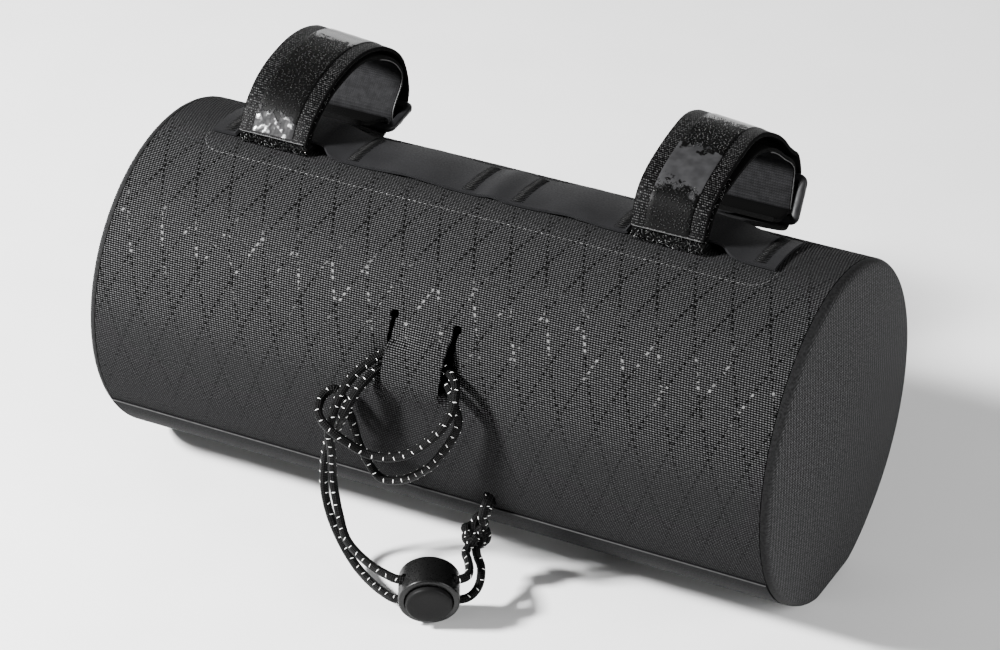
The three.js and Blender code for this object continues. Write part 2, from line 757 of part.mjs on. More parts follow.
// A cord end, from inside the hole in the panel down to the knot.
function cordTail(name) {
  const down = TAIL_ROUTES[name].map((row) => onSection(row.x, row.angle, BAG_RADIUS + row.stand));
  return cordTube([...down, KNOT_CENTRE.clone().add(TAIL_ENDS[name])]);
}

// The knot: loops of cord wound round each other, fused into one lump.
function cordKnot() {
  let solid = toSolid(new THREE.SphereGeometry(KNOT_CORE_RADIUS, 12, 8));
  for (const row of KNOT_TURNS) {
    const turn = new THREE.TorusGeometry(KNOT_RADIUS - CORD_RADIUS, CORD_RADIUS, 6, 12);
    turn.rotateX(row.tiltX * DEGREE);
    turn.rotateY(row.tiltY * DEGREE);
    turn.translate(0, 0, row.z);
    solid = solid.add(toSolid(turn));
  }
  return toGeometry(solid).translate(...KNOT_CENTRE.toArray());
}

// A turned solid about the lock's axis, from rows of [radius, height].
function turned(rows) {
  const lathe = new THREE.LatheGeometry(rows.map((row) => new THREE.Vector2(...row)), LOCK_SEGMENTS);
  return lathe.rotateX(Math.PI / 2);
}

function lockBarrel() {
  const back = -BARREL_LENGTH;
  let solid = toSolid(turned([
    [0, back],
    [BARREL_RADIUS - BARREL_EDGE, back],
    [BARREL_RADIUS, back + BARREL_EDGE],
    [BARREL_RADIUS, -BARREL_EDGE],
    [BARREL_RADIUS - BARREL_EDGE, 0],
    [BORE_RADIUS, 0],
    [BORE_RADIUS, back + BARREL_FLOOR],
    [0, back + BARREL_FLOOR],
  ]));
  for (const level of [-1, 1]) {
    const channel = new THREE.CylinderGeometry(CHANNEL_RADIUS, CHANNEL_RADIUS, 3 * BARREL_RADIUS, 12);
    channel.rotateZ(Math.PI / 2);
    channel.translate(0, level * CHANNEL_OFFSET, -CHANNEL_DEPTH);
    solid = solid.subtract(toSolid(channel));
  }
  return toGeometry(solid).applyMatrix4(lockFrame);
}

function lockButton() {
  return turned([
    [0, -STEM_END],
    [STEM_RADIUS, -STEM_END],
    [STEM_RADIUS, -BUTTON_INNER],
    [BUTTON_RADIUS, -BUTTON_INNER],
    [BUTTON_RADIUS, BUTTON_PROUD - BUTTON_EDGE],
    [BUTTON_RADIUS - BUTTON_EDGE, BUTTON_PROUD],
    [0, BUTTON_PROUD],
  ]).applyMatrix4(lockFrame);
}

const bag = new THREE.Group();

function place(name, geometry, finish) {
  const mesh = new THREE.Mesh(geometry, finish);
  mesh.name = name;
  bag.add(mesh);
}

place('main_panel', mainPanel(), LAMINATE);
place('base_panel', basePanel(), COATED_CLOTH);
place('end_cap_left', endCap(PANEL_LEFT), LAMINATE);
place('end_cap_right', endCap(PANEL_RIGHT), LAMINATE);
place('zip_closure', zipClosure(), COATED_CLOTH);
place('slit_backing', slitBacking(), COATED_CLOTH);
place('strap_panel', strapPanel(), COATED_CLOTH);
for (const strap of STRAPS) {
  place(`strap_${strap.side}`, strapBand(strap), WEBBING);
  place(`hook_tape_${strap.side}`, hookTape(strap), HOOK_TAPE);
  place(`ring_${strap.side}`, ring(strap), RING_PLASTIC);
}
place('cord_tail_a', cordTail('a'), SHOCK_CORD);
place('cord_tail_b', cordTail('b'), SHOCK_CORD);
place('cord_knot', cordKnot(), SHOCK_CORD);
place('cord_link_a', cordLink('a', 1), SHOCK_CORD);
place('cord_link_b', cordLink('b', -1), SHOCK_CORD);
place('cord_loop', cordLoop(), SHOCK_CORD);
place('cord_lock_barrel', lockBarrel(), LOCK_PLASTIC);
place('cord_lock_button', lockButton(), LOCK_PLASTIC);

export default bag;
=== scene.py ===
import math

import bmesh
import bpy
from bpy.props import FloatProperty, FloatVectorProperty, PointerProperty
from mathutils import Matrix, Vector, noise
from mathutils.geometry import delaunay_2d_cdt


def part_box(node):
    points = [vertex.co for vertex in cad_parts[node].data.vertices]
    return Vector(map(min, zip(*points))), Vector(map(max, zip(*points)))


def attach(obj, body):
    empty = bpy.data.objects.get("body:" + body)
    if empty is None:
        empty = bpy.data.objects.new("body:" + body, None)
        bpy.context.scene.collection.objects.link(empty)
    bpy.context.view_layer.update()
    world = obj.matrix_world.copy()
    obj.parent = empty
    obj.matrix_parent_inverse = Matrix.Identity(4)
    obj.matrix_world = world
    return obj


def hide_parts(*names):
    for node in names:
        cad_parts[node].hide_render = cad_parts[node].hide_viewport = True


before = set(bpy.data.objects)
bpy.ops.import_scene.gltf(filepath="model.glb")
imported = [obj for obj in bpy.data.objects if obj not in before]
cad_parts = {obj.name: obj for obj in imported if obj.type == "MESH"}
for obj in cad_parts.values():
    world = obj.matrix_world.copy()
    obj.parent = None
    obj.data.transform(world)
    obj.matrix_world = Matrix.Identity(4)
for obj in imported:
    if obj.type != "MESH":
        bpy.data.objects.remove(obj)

bl_info = {
    "name": "Handlebar bag",
    "version": (1, 0, 0),
    "blender": (4, 5, 0),
    "location": "View3D > Sidebar > Handlebar bag",
    "description": "Dresses a round handlebar bag with its cloth, straps, cord and cord lock",
    "category": "Object",
}

MM = 0.001
TAU = 2 * math.pi
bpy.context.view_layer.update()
PANEL_LOW, PANEL_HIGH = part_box("main_panel")
STRIP_LOW, STRIP_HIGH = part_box("strap_panel")
ZIP_LOW, ZIP_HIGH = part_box("zip_closure")
BACKING_LOW, BACKING_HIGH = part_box("slit_backing")

# Angles round the bag, in degrees: 0 is the front, 90 the top and 180 the back.
FRONT_SEAM = -30.5
BACK_SEAM = 210.5
BASE_ANGLE = 270
REST_HALF_ANGLE = 12
REST_BLEND_ANGLE = 36
SLIT_BOTTOM = 13.7
SLIT_TOP = 36
HOLE_ANGLE = -25.4
ZIP_ANGLE = 166
STRIP_FRONT = 83.5
STRIP_FRONT_AT_STRAP = 86.8
STRIP_BACK = 105.5
WELD_ANGLE = 74.6
BRIDGE_FOOT = 4
BRIDGE_LOW = 9
BRIDGE_HIGH = 23.4
BRIDGE_LEFT_TOP = 27
DENT_TOP = 28
BACKING_BOTTOM = 4
BACKING_TOP = 44
BACKING_EASE = 6
LAP_START = 35
LAP_END = 58

# Sizes along the bag, in millimetres.
SLIT_X = 11.8
HOLE_X = 26.5
BRIDGE_SPREAD = 7

# Other sizes in millimetres: seam, zip, slit backing, strip, tape and cord flecks.
SEAM_LAP = 0.5
ZIP_HALF_WIDTH = 5
ZIP_GAP = 0.3
BACKING_DEPTH = 1.9
BACKING_SAG = 1.7
STRIP_GAP = 0.4
TAPE_GROUND = 0.4
TAPE_GAP = 0.12
FLECK_SIZE = (0.32, 1.5, 0.4)

# Edges of faces that meet at more than this stay sharp.
SHARP_ANGLE = math.radians(38)
SEAM_GAP_ANGLE = 0.15
ROW_TREE = "Row along a path"
LOOP_TREE = "Loops over a surface"

# Soft boxes, in metres: where each stands and its width and height.
LIGHTS = {
    "key": ((-0.74, -0.6, 0.72), (0.15, 0.15)),
    "front": ((-0.8, -1.3, 0.3), (0.6, 0.4)),
    "side": ((1.4, -0.2, 0.6), (0.8, 0.8)),
    "back": ((-0.7, 1.7, 0.6), (2.6, 1.1)),
}
FLOOR_REACH = 6
FLOOR_DROP = 0.0004

# How far the strip stands off the bag: (x, lift).
STRIP_LIFT = (
    (-107, 0), (-98.5, 0), (-96.2, 2.3), (-82, 3), (-67.8, 2.3), (-54.5, 0), (-49.5, 0),
    (-30, 1), (-9.5, 0), (-4.5, 0), (2, 0.8), (9, 0), (14, 0), (31, 1), (47.5, 0), (52.5, 0),
    (54.2, 2.3), (68.4, 3), (82.6, 2.3), (98.5, 0), (107, 0),
)

# Where the strip is tacked down, along the bag.
TACK_X = (-101, -52, -7, 11.5, 50, 101)

# The straps, in millimetres: where each stands, how far its edges twist up and down over the
# top, its ring's low bar and tilt, and its side profile, (y, z): the tab's end, the lean of its
# turn round the low bar, where it starts to follow the bag, the inner layer from the fold up and
# over, the turn through the ring, and the outer layer to the free end.
RING_SPAN = 15.2
RING_BAR = 3
RING_THICKNESS = 2.2
RING_SIDE_GAP = 0.5
STRAP_SKEW = 0.45
STRAP_GAP = 0.3
STRAP_FRONT = 85
BAR_CLEARANCE = 0.7
STRAP_FOLD = (-6.8, 121.9)
STRAP_FOLD_RADIUS = 1.25
TWIST_START = 124
TWIST_END = 140
STRAPS = {
    "left": {
        "x": -82,
        "twist": 1.4,
        "tab": ((30.4, 114.8), (36.2, 111.7)),
        "low_bar": (46.9, 105.2),
        "lean": 44,
        "hug_start": 124,
        "ring_tilt": 8,
        "inner": (
            (-6.7, 123.2), (-5.7, 125.2), (-1.9, 129.6), (3.7, 133.5), (9.9, 136.6),
            (17.5, 138.4), (27, 139.4), (37.4, 138.1), (47.2, 134), (54.2, 129.4), (59, 124.6),
            (61.6, 120.4), (61.2, 116.6), (55.4, 109.6),
        ),
        "turn": {"centre": (59.4, 106.6), "radius": 5.2, "start": 172, "end": 360},
        "outer": (
            (65.9, 110.8), (64.2, 120.4), (59.8, 128.2), (49.8, 136.4), (38, 140.8),
            (27, 142.1), (17, 141.2), (9, 139.3), (2.3, 136.2), (-3.7, 131.5), (-9.2, 124.3),
        ),
    },
    "right": {
        "x": 68.4,
        "twist": 1.2,
        "tab": ((51.3, 103.8), (56.5, 101)),
        "low_bar": (63.8, 97.5),
        "lean": 60.5,
        "hug_start": 118,
        "ring_tilt": 61,
        "inner": (
            (-6.7, 123.2), (-4.1, 127.8), (-0.2, 132.6), (6, 135.9), (14.6, 137.7), (25, 138.8),
            (34, 138.4), (41, 136.6), (47.4, 133.6), (53, 129.8), (58.4, 125.2), (66.6, 118.8),
            (68.9, 115), (67.9, 107.6),
        ),
        "turn": {"centre": (69.2, 101.2), "radius": 2.4, "start": 165, "end": 350},
        "outer": (
            (74.1, 110.4), (71.2, 119.2), (67.2, 122.6), (62.6, 126.6), (58.9, 130.9),
            (53.4, 135.8), (42.8, 142), (33, 144.7), (24, 144.4), (12.3, 142.4), (2.4, 139.2),
            (-4.4, 134.4), (-8.8, 125.2),
        ),
    },
}

# Where each hook tape shows wear, in millimetres from its free end: pressed down, rubbed to a
# matt grey, and smooth where it goes over the top. The grey of the pressed and rubbed patches
# is partly wear and partly painted sheen.
TAPE_WEAR_AND_SHEEN = {
    "left": {"pressed": (-5, 7), "grey": (-9, -8), "smooth": (50, 120)},
    "right": {"pressed": (-9, -8), "grey": (15, 33), "smooth": (54, 120)},
}

# The cord's route in metres, hole to hole: down to the knot and the lock's upper channel, ...
TAIL_A = (
    (0.0267, -0.0535, 0.0365), (0.0267, -0.0568, 0.0346), (0.0262, -0.0592, 0.0293),
    (0.0253, -0.0559, 0.0243),
)
KNOT_CENTRE = (0.0220, -0.0564, 0.0195)
# The knot's turns: name, spread in millimetres and roll in radians; how far each rises and falls.
KNOT_TURNS = (("a", 1.35, 0.0), ("b", 1.2, 1.1), ("c", 1.1, 2.3))
KNOT_RISE = 2.6
LINK_A = (
    (0.0216, -0.0624, 0.0160), (0.0246, -0.0665, 0.0160), (0.0278, -0.0716, 0.0164),
    (0.0293, -0.0758, 0.0167),
)
# ... from there round the bridge between the slits and back to the lock's lower channel, ...
LOOP = (
    (0.0044, -0.0872, 0.0165), (-0.0046, -0.0832, 0.0158), (-0.0172, -0.0755, 0.0168),
    (-0.0231, -0.0698, 0.0212), (-0.0271, -0.0665, 0.0307), (-0.0257, -0.0701, 0.0481),
    (-0.0253, -0.0723, 0.0556), (-0.0242, -0.0711, 0.0620), (-0.0213, -0.0689, 0.0716),
    (-0.0176, -0.0629, 0.0778), (-0.0104, -0.0556, 0.0823), (0.0106, -0.0559, 0.0817),
    (0.0191, -0.0641, 0.0798), (0.0187, -0.0699, 0.0713), (0.0077, -0.0718, 0.0578),
    (-0.0014, -0.0715, 0.0522), (-0.0099, -0.0720, 0.0513), (-0.0164, -0.0750, 0.0557),
    (-0.0220, -0.0763, 0.0597), (-0.0277, -0.0742, 0.0633), (-0.0293, -0.0685, 0.0668),
    (-0.0263, -0.0654, 0.0689), (-0.0204, -0.0665, 0.0620), (-0.0168, -0.0653, 0.0481),
    (-0.0118, -0.0614, 0.0355), (-0.0044, -0.0622, 0.0369), (0.0048, -0.0648, 0.0438),
    (0.0125, -0.0670, 0.0521), (0.0210, -0.0664, 0.0689), (0.0190, -0.0652, 0.0754),
    (0.0106, -0.0572, 0.0779), (-0.0110, -0.0571, 0.0778), (-0.0155, -0.0667, 0.0738),
    (-0.0202, -0.0700, 0.0637), (-0.0237, -0.0679, 0.0568), (-0.0282, -0.0668, 0.0497),
    (-0.0315, -0.0654, 0.0287), (-0.0280, -0.0656, 0.0139), (-0.0170, -0.0710, 0.0044),
    (0.0018, -0.0834, 0.0055),
)
# ... and through it, the knot and the hole again.
LINK_B = (
    (0.0289, -0.0746, 0.0072), (0.0298, -0.0705, 0.0079), (0.0290, -0.0658, 0.0094),
    (0.0270, -0.0618, 0.0118), (0.0244, -0.0597, 0.0140),
)
TAIL_B = (
    (0.0222, -0.0555, 0.0261), (0.0252, -0.0537, 0.0280), (0.0263, -0.0549, 0.0313),
    (0.0264, -0.0520, 0.0335),
)

# The cord lock's own axes: across runs along its channels, out points from its button.
LOCK_FACE = Vector((0.02093, -0.08763, 0.01043))
LOCK_TURN = math.radians(27.468)
LOCK_TILT = math.radians(-13)
CHANNEL_OFFSET = 5
CHANNEL_DEPTH = 6
CHANNEL_MOUTH = 10.1


def linear(code):
    """A linear colour from an sRGB hex code."""
    shares = [int(code[i:i + 2], 16) / 255 for i in (1, 3, 5)]
    return [s / 12.92 if s <= 0.04045 else ((s + 0.055) / 1.055) ** 2.4 for s in shares]


def length_property(name, description, millimetres):
    return FloatProperty(name=name, description=description, default=millimetres * MM,
                         min=0, unit="LENGTH", precision=4)


def power_property(name, description, watts):
    return FloatProperty(name=name, description=description, default=watts, subtype="POWER")


def colour_property(name, description, code):
    return FloatVectorProperty(name=name, description=description, default=linear(code),
                               size=3, min=0, max=1, subtype="COLOR")


class BagSizes(bpy.types.PropertyGroup):
    """Sizes of the bag's cloth, straps and cord."""
    radius: FloatProperty(
        name="Bag radius", description="Radius of the rolled main panel",
        default=PANEL_HIGH[2] / 2, unit="LENGTH", precision=4)
    panel_left: FloatProperty(
        name="Left end", description="Where the main panel meets the left end panel",
        default=PANEL_LOW[0], unit="LENGTH", precision=4)
    panel_right: FloatProperty(
        name="Right end", description="Where the main panel meets the right end panel",
        default=PANEL_HIGH[0], unit="LENGTH", precision=4)
    cloth: length_property("Laminate", "Thickness of the laminate's cut edge", 1.1)
    cloth_step: length_property("Cloth step", "Distance between the cloth's points", 2.6)
    ripple: length_property("Ripple", "Height of the soft waves in the laminate", 0.22)
    bridge_lift: length_property("Bridge lift", "How far the cord pushes the bridge out", 3.9)
    dent: length_property("Dent", "How far the cord presses the panel in beside the slits", 1.2)
    slit_width: length_property("Slit width", "Width of the slits on the front", 1.8)
    slit_eye: length_property("Slit eye", "Radius of the hole punched at a slit's top", 1.7)
    strip_cloth: length_property("Strip", "Thickness of the strip on top", 1.0)
    strap_width: length_property("Strap width", "Width of a cinch strap", 27)
    strap_cloth: length_property("Strap", "Thickness of a cinch strap", 1.6)
    tape_width: length_property("Hook tape", "Width of the hook tape on a strap", 16)
    cord: length_property("Cord", "Diameter of the shock cord", 3)
    fleck_pitch: length_property("Fleck pitch", "Distance between the cord's bright flecks", 4.3)


class BagColours(bpy.types.PropertyGroup):
    """Colours of the bag's finishes."""
    laminate: colour_property("Laminate", "Raised yarns of the laminate's face", "#464647")
    laminate_deep: colour_property("Laminate, deep", "Gaps between the yarns", "#050505")
    thread: colour_property("Grid thread", "Crossed threads in the laminate", "#030303")
    # Painted highlight: the colour of the glints painted on the grid threads.
    painted_glint: colour_property("Grid thread, lit", "Threads that catch the light", "#545454")
    end_cloth: colour_property("End cloth", "Face of the end panels", "#505051")
    base: colour_property("Base cloth", "Coated base of the bag", "#0e0e0f")
    strip: colour_property("Strip cloth", "Coated strip on top", "#181819")
    backing: colour_property("Backing", "Cloth behind the slits", "#050505")
    webbing: colour_property("Webbing", "Raised yarns of the straps", "#484848")
    webbing_deep: colour_property("Webbing, deep", "Gaps in the straps' weave", "#030303")
    lining: colour_property("Strap lining", "Inner face of the straps", "#1e1e1f")
    pile: colour_property("Loop pile", "Loops on the straps", "#060606")
    hook: colour_property("Hook tape", "Moulded hook tape", "#040404")
    # Partly wear and partly painted sheen: the grey of the hook tape's pressed and rubbed patches.
    hook_worn_and_sheen: colour_property("Hook tape, worn", "Hook tape rubbed smooth", "#2b2b2c")
    ring: colour_property("Ring", "Moulded rings", "#131314")
    cord: colour_property("Cord", "Braided cover of the cord", "#080808")
    fleck: colour_property("Fleck", "Reflective yarn in the cord", "#f2f2f0")
    lock: colour_property("Cord lock", "Moulded housing", "#060606")
    button: colour_property("Button", "Moulded push button", "#0e0e0e")
    sewing: colour_property("Sewing thread", "Bar tacks on the strip", "#040404")
    # Lighter than the strap: a painted highlight along the sealed strap ends.
    edge: colour_property("Cut edge", "Heat-cut strap ends", "#3c3c3c")
    weld: colour_property("Weld", "Welded line along the top", "#4c4c4c")
    # Lighter than the cloth: a painted highlight on edges and seam lines that catch the light.
    rim: colour_property("Woven edge", "Edges that catch the light faintly", "#303030")
    floor: colour_property("Floor", "Studio floor", "#e2e2e2")


class StudioSettings(bpy.types.PropertyGroup):
    """Camera and lights."""
    azimuth: FloatProperty(name="Azimuth", description="Camera's turn to the right of the front",
                           default=math.radians(27.468), subtype="ANGLE")
    elevation: FloatProperty(name="Elevation", description="Camera's height over the horizon",
                             default=math.radians(30.864), subtype="ANGLE")
    distance: length_property("Distance", "From the camera to the middle of the bag", 1324.6)
    lens: FloatProperty(name="Lens", description="Focal length on a 36 mm sensor",
                        default=137.27, subtype="DISTANCE_CAMERA")
    shift_x: FloatProperty(name="Shift X", description="Framing, in image widths", default=0.00576)
    shift_y: FloatProperty(name="Shift Y", description="Framing, in image widths", default=0.01655)
    key: power_property("Key", "Small soft box high on the left", 84)
    front: power_property("Front", "Soft box low at the front on the left", 9)
    side: power_property("Side", "Soft box on the right", 30)
    back: power_property("Back", "White wall behind the bag", 18)
    sky: FloatProperty(name="Sky", description="Even light from all round", default=0.12)


def sizes():
    return bpy.context.scene.bag_sizes


def colours():
    return bpy.context.scene.bag_colours


def add(tree, kind, settings=(), inputs=()):
    """Adds a node with its settings; each input gets a value or a link from a socket."""
    made = tree.nodes.new(kind)
    for key, value in dict(settings).items():
        setattr(made, key, value)
    for key, value in dict(inputs).items():
        if isinstance(value, bpy.types.NodeSocket):
            tree.links.new(value, made.inputs[key])
        else:
            made.inputs[key].default_value = value
    return made


def rgba(colour):
    return (*colour, 1)


def new_material(name, colour, roughness, shine=0.5):
    """A material with its shader; returns the material, its node tree and the shader."""
    material = bpy.data.materials.new(name)
    material.use_nodes = True
    material.diffuse_color = rgba(colour)
    shader = material.node_tree.nodes["Principled BSDF"]
    for key, value in (("Base Color", rgba(colour)), ("Roughness", roughness),
                       ("Specular IOR Level", shine)):
        shader.inputs[key].default_value = value
    return material, material.node_tree, shader


def maths(tree, operation, *values):
    return add(tree, "ShaderNodeMath", {"operation": operation}, enumerate(values)).outputs[0]


def ramp(tree, value, low, high, start, end):
    """Maps a value smoothly from low..high to start..end."""
    return add(tree, "ShaderNodeMapRange", {"interpolation_type": "SMOOTHSTEP"}, {
        "Value": value, "From Min": low, "From Max": high, "To Min": start, "To Max": end,
    }).outputs[0]


def blend(tree, share, first, second):
    """Mixes two colours."""
    return add(tree, "ShaderNodeMix", {"data_type": "RGBA"}, {
        "Factor": share, 6: first, 7: second,
    }).outputs[2]


def pattern_axes(tree):
    """The piece's own flat pattern in millimetres: along the bag and across it."""
    place = add(tree, "ShaderNodeUVMap", {"uv_map": "pattern"})
    split = add(tree, "ShaderNodeSeparateXYZ", (), {0: place.outputs[0]})
    return [maths(tree, "MULTIPLY", split.outputs[i], 1 / MM) for i in (0, 1)]


def weave(tree, along, across, pitch_along, pitch_across):
    """A plain weave: 1 on a raised yarn, 0 in the gaps between its ribs and its rows."""
    ribs, rows = [
        maths(tree, "SINE", maths(tree, "MULTIPLY", axis, TAU / pitch))
        for axis, pitch in ((along, pitch_along), (across, pitch_across))
    ]
    return ramp(tree, maths(tree, "MULTIPLY_ADD", ribs, 0.5, rows), -0.1, 1.2, 0, 1)


def window(tree, value, low, high, soft):
    """1 where a value lies between low and high, with soft ends."""
    rise = ramp(tree, value, low - soft, low + soft, 0, 1)
    return maths(tree, "MULTIPLY", rise, ramp(tree, value, high - soft, high + soft, 1, 0))


def speckle(tree, along, across, size, detail=2):
    """Uneven patches of about a size in millimetres, from 0 to 1."""
    place = add(tree, "ShaderNodeCombineXYZ", (), {0: along, 1: across})
    return add(tree, "ShaderNodeTexNoise", (), {
        "Vector": place.outputs[0], "Scale": 1 / size, "Detail": detail, "Roughness": 0.6,
    }).outputs[0]


def relief(tree, shader, height, depth):
    """Turns a height from 0 to 1 into a surface relief of a depth in millimetres."""
    bump = add(tree, "ShaderNodeBump", (), {
        "Height": height, "Distance": depth * MM, "Strength": 1,
    })
    tree.links.new(bump.outputs[0], shader.inputs["Normal"])


def grid_thread(tree, along, across, width, height, thread):
    """1 on the crossed threads of a diamond grid, 0 elsewhere."""
    near = []
    for sign in (1, -1):
        run = maths(tree, "ADD", maths(tree, "DIVIDE", along, width),
                    maths(tree, "DIVIDE", across, sign * height))
        middle = maths(tree, "ABSOLUTE", maths(tree, "SUBTRACT", maths(tree, "FRACT", run), 0.5))
        near.append(ramp(tree, middle, 0.5 * thread / width, thread / width, 1, 0))
    return maths(tree, "MAXIMUM", *near)


def laminate_material(name):
    """Woven nylon laminate: dull charcoal yarns, and a crossed grid of dark, shinier threads.

    Some of the threads carry painted glints.
    """
    pick = colours()
    material, tree, shader = new_material(name, pick.laminate, 0.6, 0.03)
    along, across = pattern_axes(tree)
    # Rows of 0.7 mm would blur in the picture, so they are drawn at 0.75 mm.
    face = weave(tree, maths(tree, "MULTIPLY_ADD", across, 0.23, along), across, 1, 0.75)
    wave = maths(tree, "SINE", maths(tree, "MULTIPLY", across, TAU / 2.2))
    dash = ramp(tree, wave, -0.1, 0.3, 0, 1)
    # Towards the base and over the top the weave and the grid threads fade, and the face turns
    # darker and more even.
    flat = maths(tree, "MULTIPLY", ramp(tree, across, 2, 22, 0.35, 1),
                 ramp(tree, across, 72, 96, 1, 0.4))
    thread = maths(tree, "MULTIPLY", grid_thread(tree, along, across, 13.5, 33, 0.6),
                   maths(tree, "MULTIPLY", dash, flat))
    # Painted highlight: in a band on the upper front, where the key light's reflection falls,
    # patches of grid threads are coloured as glints.
    lit = maths(tree, "MULTIPLY", window(tree, across, 30, 52, 8),
                ramp(tree, speckle(tree, along, across, 6), 0.52, 0.58, 0, 1))
    patch = ramp(tree, speckle(tree, along, across, 0.8, 3), 0.3, 0.7, 0.4, 1)
    even = 0.14
    raised = maths(tree, "SUBTRACT", maths(tree, "MULTIPLY", face, patch), even)
    yarn = maths(tree, "MULTIPLY_ADD", raised, flat, even)
    cloth = blend(tree, yarn, rgba(pick.laminate_deep), rgba(pick.laminate))
    threads = blend(tree, lit, rgba(pick.thread), rgba(pick.painted_glint))
    tree.links.new(blend(tree, thread, cloth, threads), shader.inputs["Base Color"])
    tree.links.new(ramp(tree, thread, 0, 1, 0.6, 0.35), shader.inputs["Roughness"])
    tree.links.new(ramp(tree, yarn, 0.1, 1, 0, 0.22), shader.inputs["Specular IOR Level"])
    relief(tree, shader, maths(tree, "MULTIPLY_ADD", thread, -0.5, face), 0.12)
    return material


def end_cloth_material(name):
    """The same laminate seen on the end panels: a finer, plainer face without the grid."""
    pick = colours()
    material, tree, shader = new_material(name, pick.end_cloth, 0.7, 0.03)
    along, across = pattern_axes(tree)
    # The weave is drawn coarser along the panel, which the picture shows at a slant. Towards the
    # rim it fades to an even face and turns darker.
    out = maths(tree, "SQRT", maths(tree, "MULTIPLY_ADD", along, along,
                                    maths(tree, "MULTIPLY", across, across)))
    woven = weave(tree, along, maths(tree, "MULTIPLY_ADD", along, 0.3, across), 2, 1)
    face = maths(tree, "MULTIPLY_ADD", maths(tree, "SUBTRACT", woven, 0.4),
                 ramp(tree, out, 57, 60, 1, 0), 0.4)
    patch = maths(tree, "MULTIPLY", ramp(tree, out, 56.5, 61.5, 1, 0.2),
                  ramp(tree, speckle(tree, along, across, 0.9, 3), 0.3, 0.7, 0.35, 1))
    yarn = maths(tree, "MULTIPLY", maths(tree, "MULTIPLY_ADD", face, 0.85, 0.15), patch)
    tree.links.new(blend(tree, yarn, rgba(pick.laminate_deep), rgba(pick.end_cloth)),
                   shader.inputs["Base Color"])
    relief(tree, shader, face, 0.06)
    return material


def coated_material(name, key, roughness, shine):
    """Coated cloth: a smooth film over a faint weave, evenly dark with a soft shine."""
    colour = getattr(colours(), key)
    material, tree, shader = new_material(name, colour, roughness, shine)
    along, across = pattern_axes(tree)
    fine = speckle(tree, along, across, 0.7)
    shade = ramp(tree, speckle(tree, along, across, 14), 0.25, 0.75, 0.8, 1.1)
    tint = add(tree, "ShaderNodeVectorMath", {"operation": "SCALE"}, {
        0: tuple(colour), "Scale": shade,
    })
    tree.links.new(tint.outputs[0], shader.inputs["Base Color"])
    tree.links.new(ramp(tree, fine, 0.3, 0.7, roughness - 0.08, roughness + 0.08),
                   shader.inputs["Roughness"])
    relief(tree, shader, fine, 0.05)
    return material


def webbing_material(name):
    """Woven polyester strap: coarse black yarns whose lit tops read as salt and pepper."""
    pick = colours()
    material, tree, shader = new_material(name, pick.webbing, 0.5, 0.03)
    along, across = pattern_axes(tree)
    slant = maths(tree, "MULTIPLY_ADD", across, 0.5, along)
    face = weave(tree, slant, across, 0.85, 0.85)
    patch = ramp(tree, speckle(tree, along, across, 0.9, 3), 0.44, 0.62, 0, 1)
    tree.links.new(blend(tree, maths(tree, "MULTIPLY", face, patch), rgba(pick.webbing_deep),
                         rgba(pick.webbing)), shader.inputs["Base Color"])
    relief(tree, shader, face, 0.2)
    return material


def lining_material(name):
    """Plain-woven strap backing: fine, even, matt dark grey."""
    pick = colours()
    material, tree, shader = new_material(name, pick.lining, 0.75, 0.03)
    along, across = pattern_axes(tree)
    face = weave(tree, along, across, 0.9, 1)
    shade = ramp(tree, speckle(tree, along, across, 2.5), 0.3, 0.7, 0.6, 1)
    mixed = maths(tree, "MULTIPLY", maths(tree, "MULTIPLY_ADD", face, 0.2, 0.8), shade)
    tree.links.new(blend(tree, mixed, rgba(pick.webbing_deep), rgba(pick.lining)),
                   shader.inputs["Base Color"])
    relief(tree, shader, face, 0.1)
    return material


def tape_material(name, side):
    """Moulded hook tape: black between the hooks, pressed shiny or rubbed matt grey in patches.

    The grey of the patches is partly wear and partly painted sheen.
    """
    pick = colours()
    material, tree, shader = new_material(name, pick.hook, 0.3)
    across, end = pattern_axes(tree)
    place = maths(tree, "ADD", end, ramp(tree, speckle(tree, across, end, 4, 4), 0.3, 0.7, -4, 4))
    pressed, grey, smooth_top = [window(tree, place, *TAPE_WEAR_AND_SHEEN[side][key], 1)
                                 for key in ("pressed", "grey", "smooth")]
    spots = ramp(tree, speckle(tree, across, end, 3, 1), 0.5, 0.66, 0, 1)
    rubbed = ramp(tree, speckle(tree, across, end, 6, 2), 0.3, 0.7, 0.55, 1)
    # The grey of the pressed and rubbed patches is partly wear and partly painted sheen.
    worn_and_sheen = maths(tree, "MULTIPLY", maths(tree, "MULTIPLY_ADD", pressed, 0.5, grey), rubbed)
    tree.links.new(blend(tree, worn_and_sheen, rgba(pick.hook), rgba(pick.hook_worn_and_sheen)),
                   shader.inputs["Base Color"])
    matt = ramp(tree, grey, 0, 1, 0.42, 0.6)
    shine = maths(tree, "MAXIMUM", maths(tree, "MULTIPLY", pressed, spots), smooth_top)
    tree.links.new(maths(tree, "MULTIPLY_ADD", shine, -0.2, matt), shader.inputs["Roughness"])
    tree.links.new(ramp(tree, shine, 0, 1, 0.04, 0.5), shader.inputs["Specular IOR Level"])
    relief(tree, shader, maths(tree, "MULTIPLY", speckle(tree, across, end, 3, 1), pressed), 0.3)
    return material


def plain_material(name, key, roughness, grain, depth, shine=0.5):
    """A moulded or spun finish: one colour, with a fine uneven grain in its shine and relief."""
    material, tree, shader = new_material(name, getattr(colours(), key), roughness, shine)
    place = add(tree, "ShaderNodeTexCoord")
    texture = add(tree, "ShaderNodeTexNoise", (), {
        "Vector": place.outputs["Object"], "Scale": 1 / (grain * MM), "Detail": 3,
    })
    tree.links.new(ramp(tree, texture.outputs[0], 0.3, 0.7, roughness * 0.75, roughness * 1.25),
                   shader.inputs["Roughness"])
    relief(tree, shader, texture.outputs[0], depth)
    return material


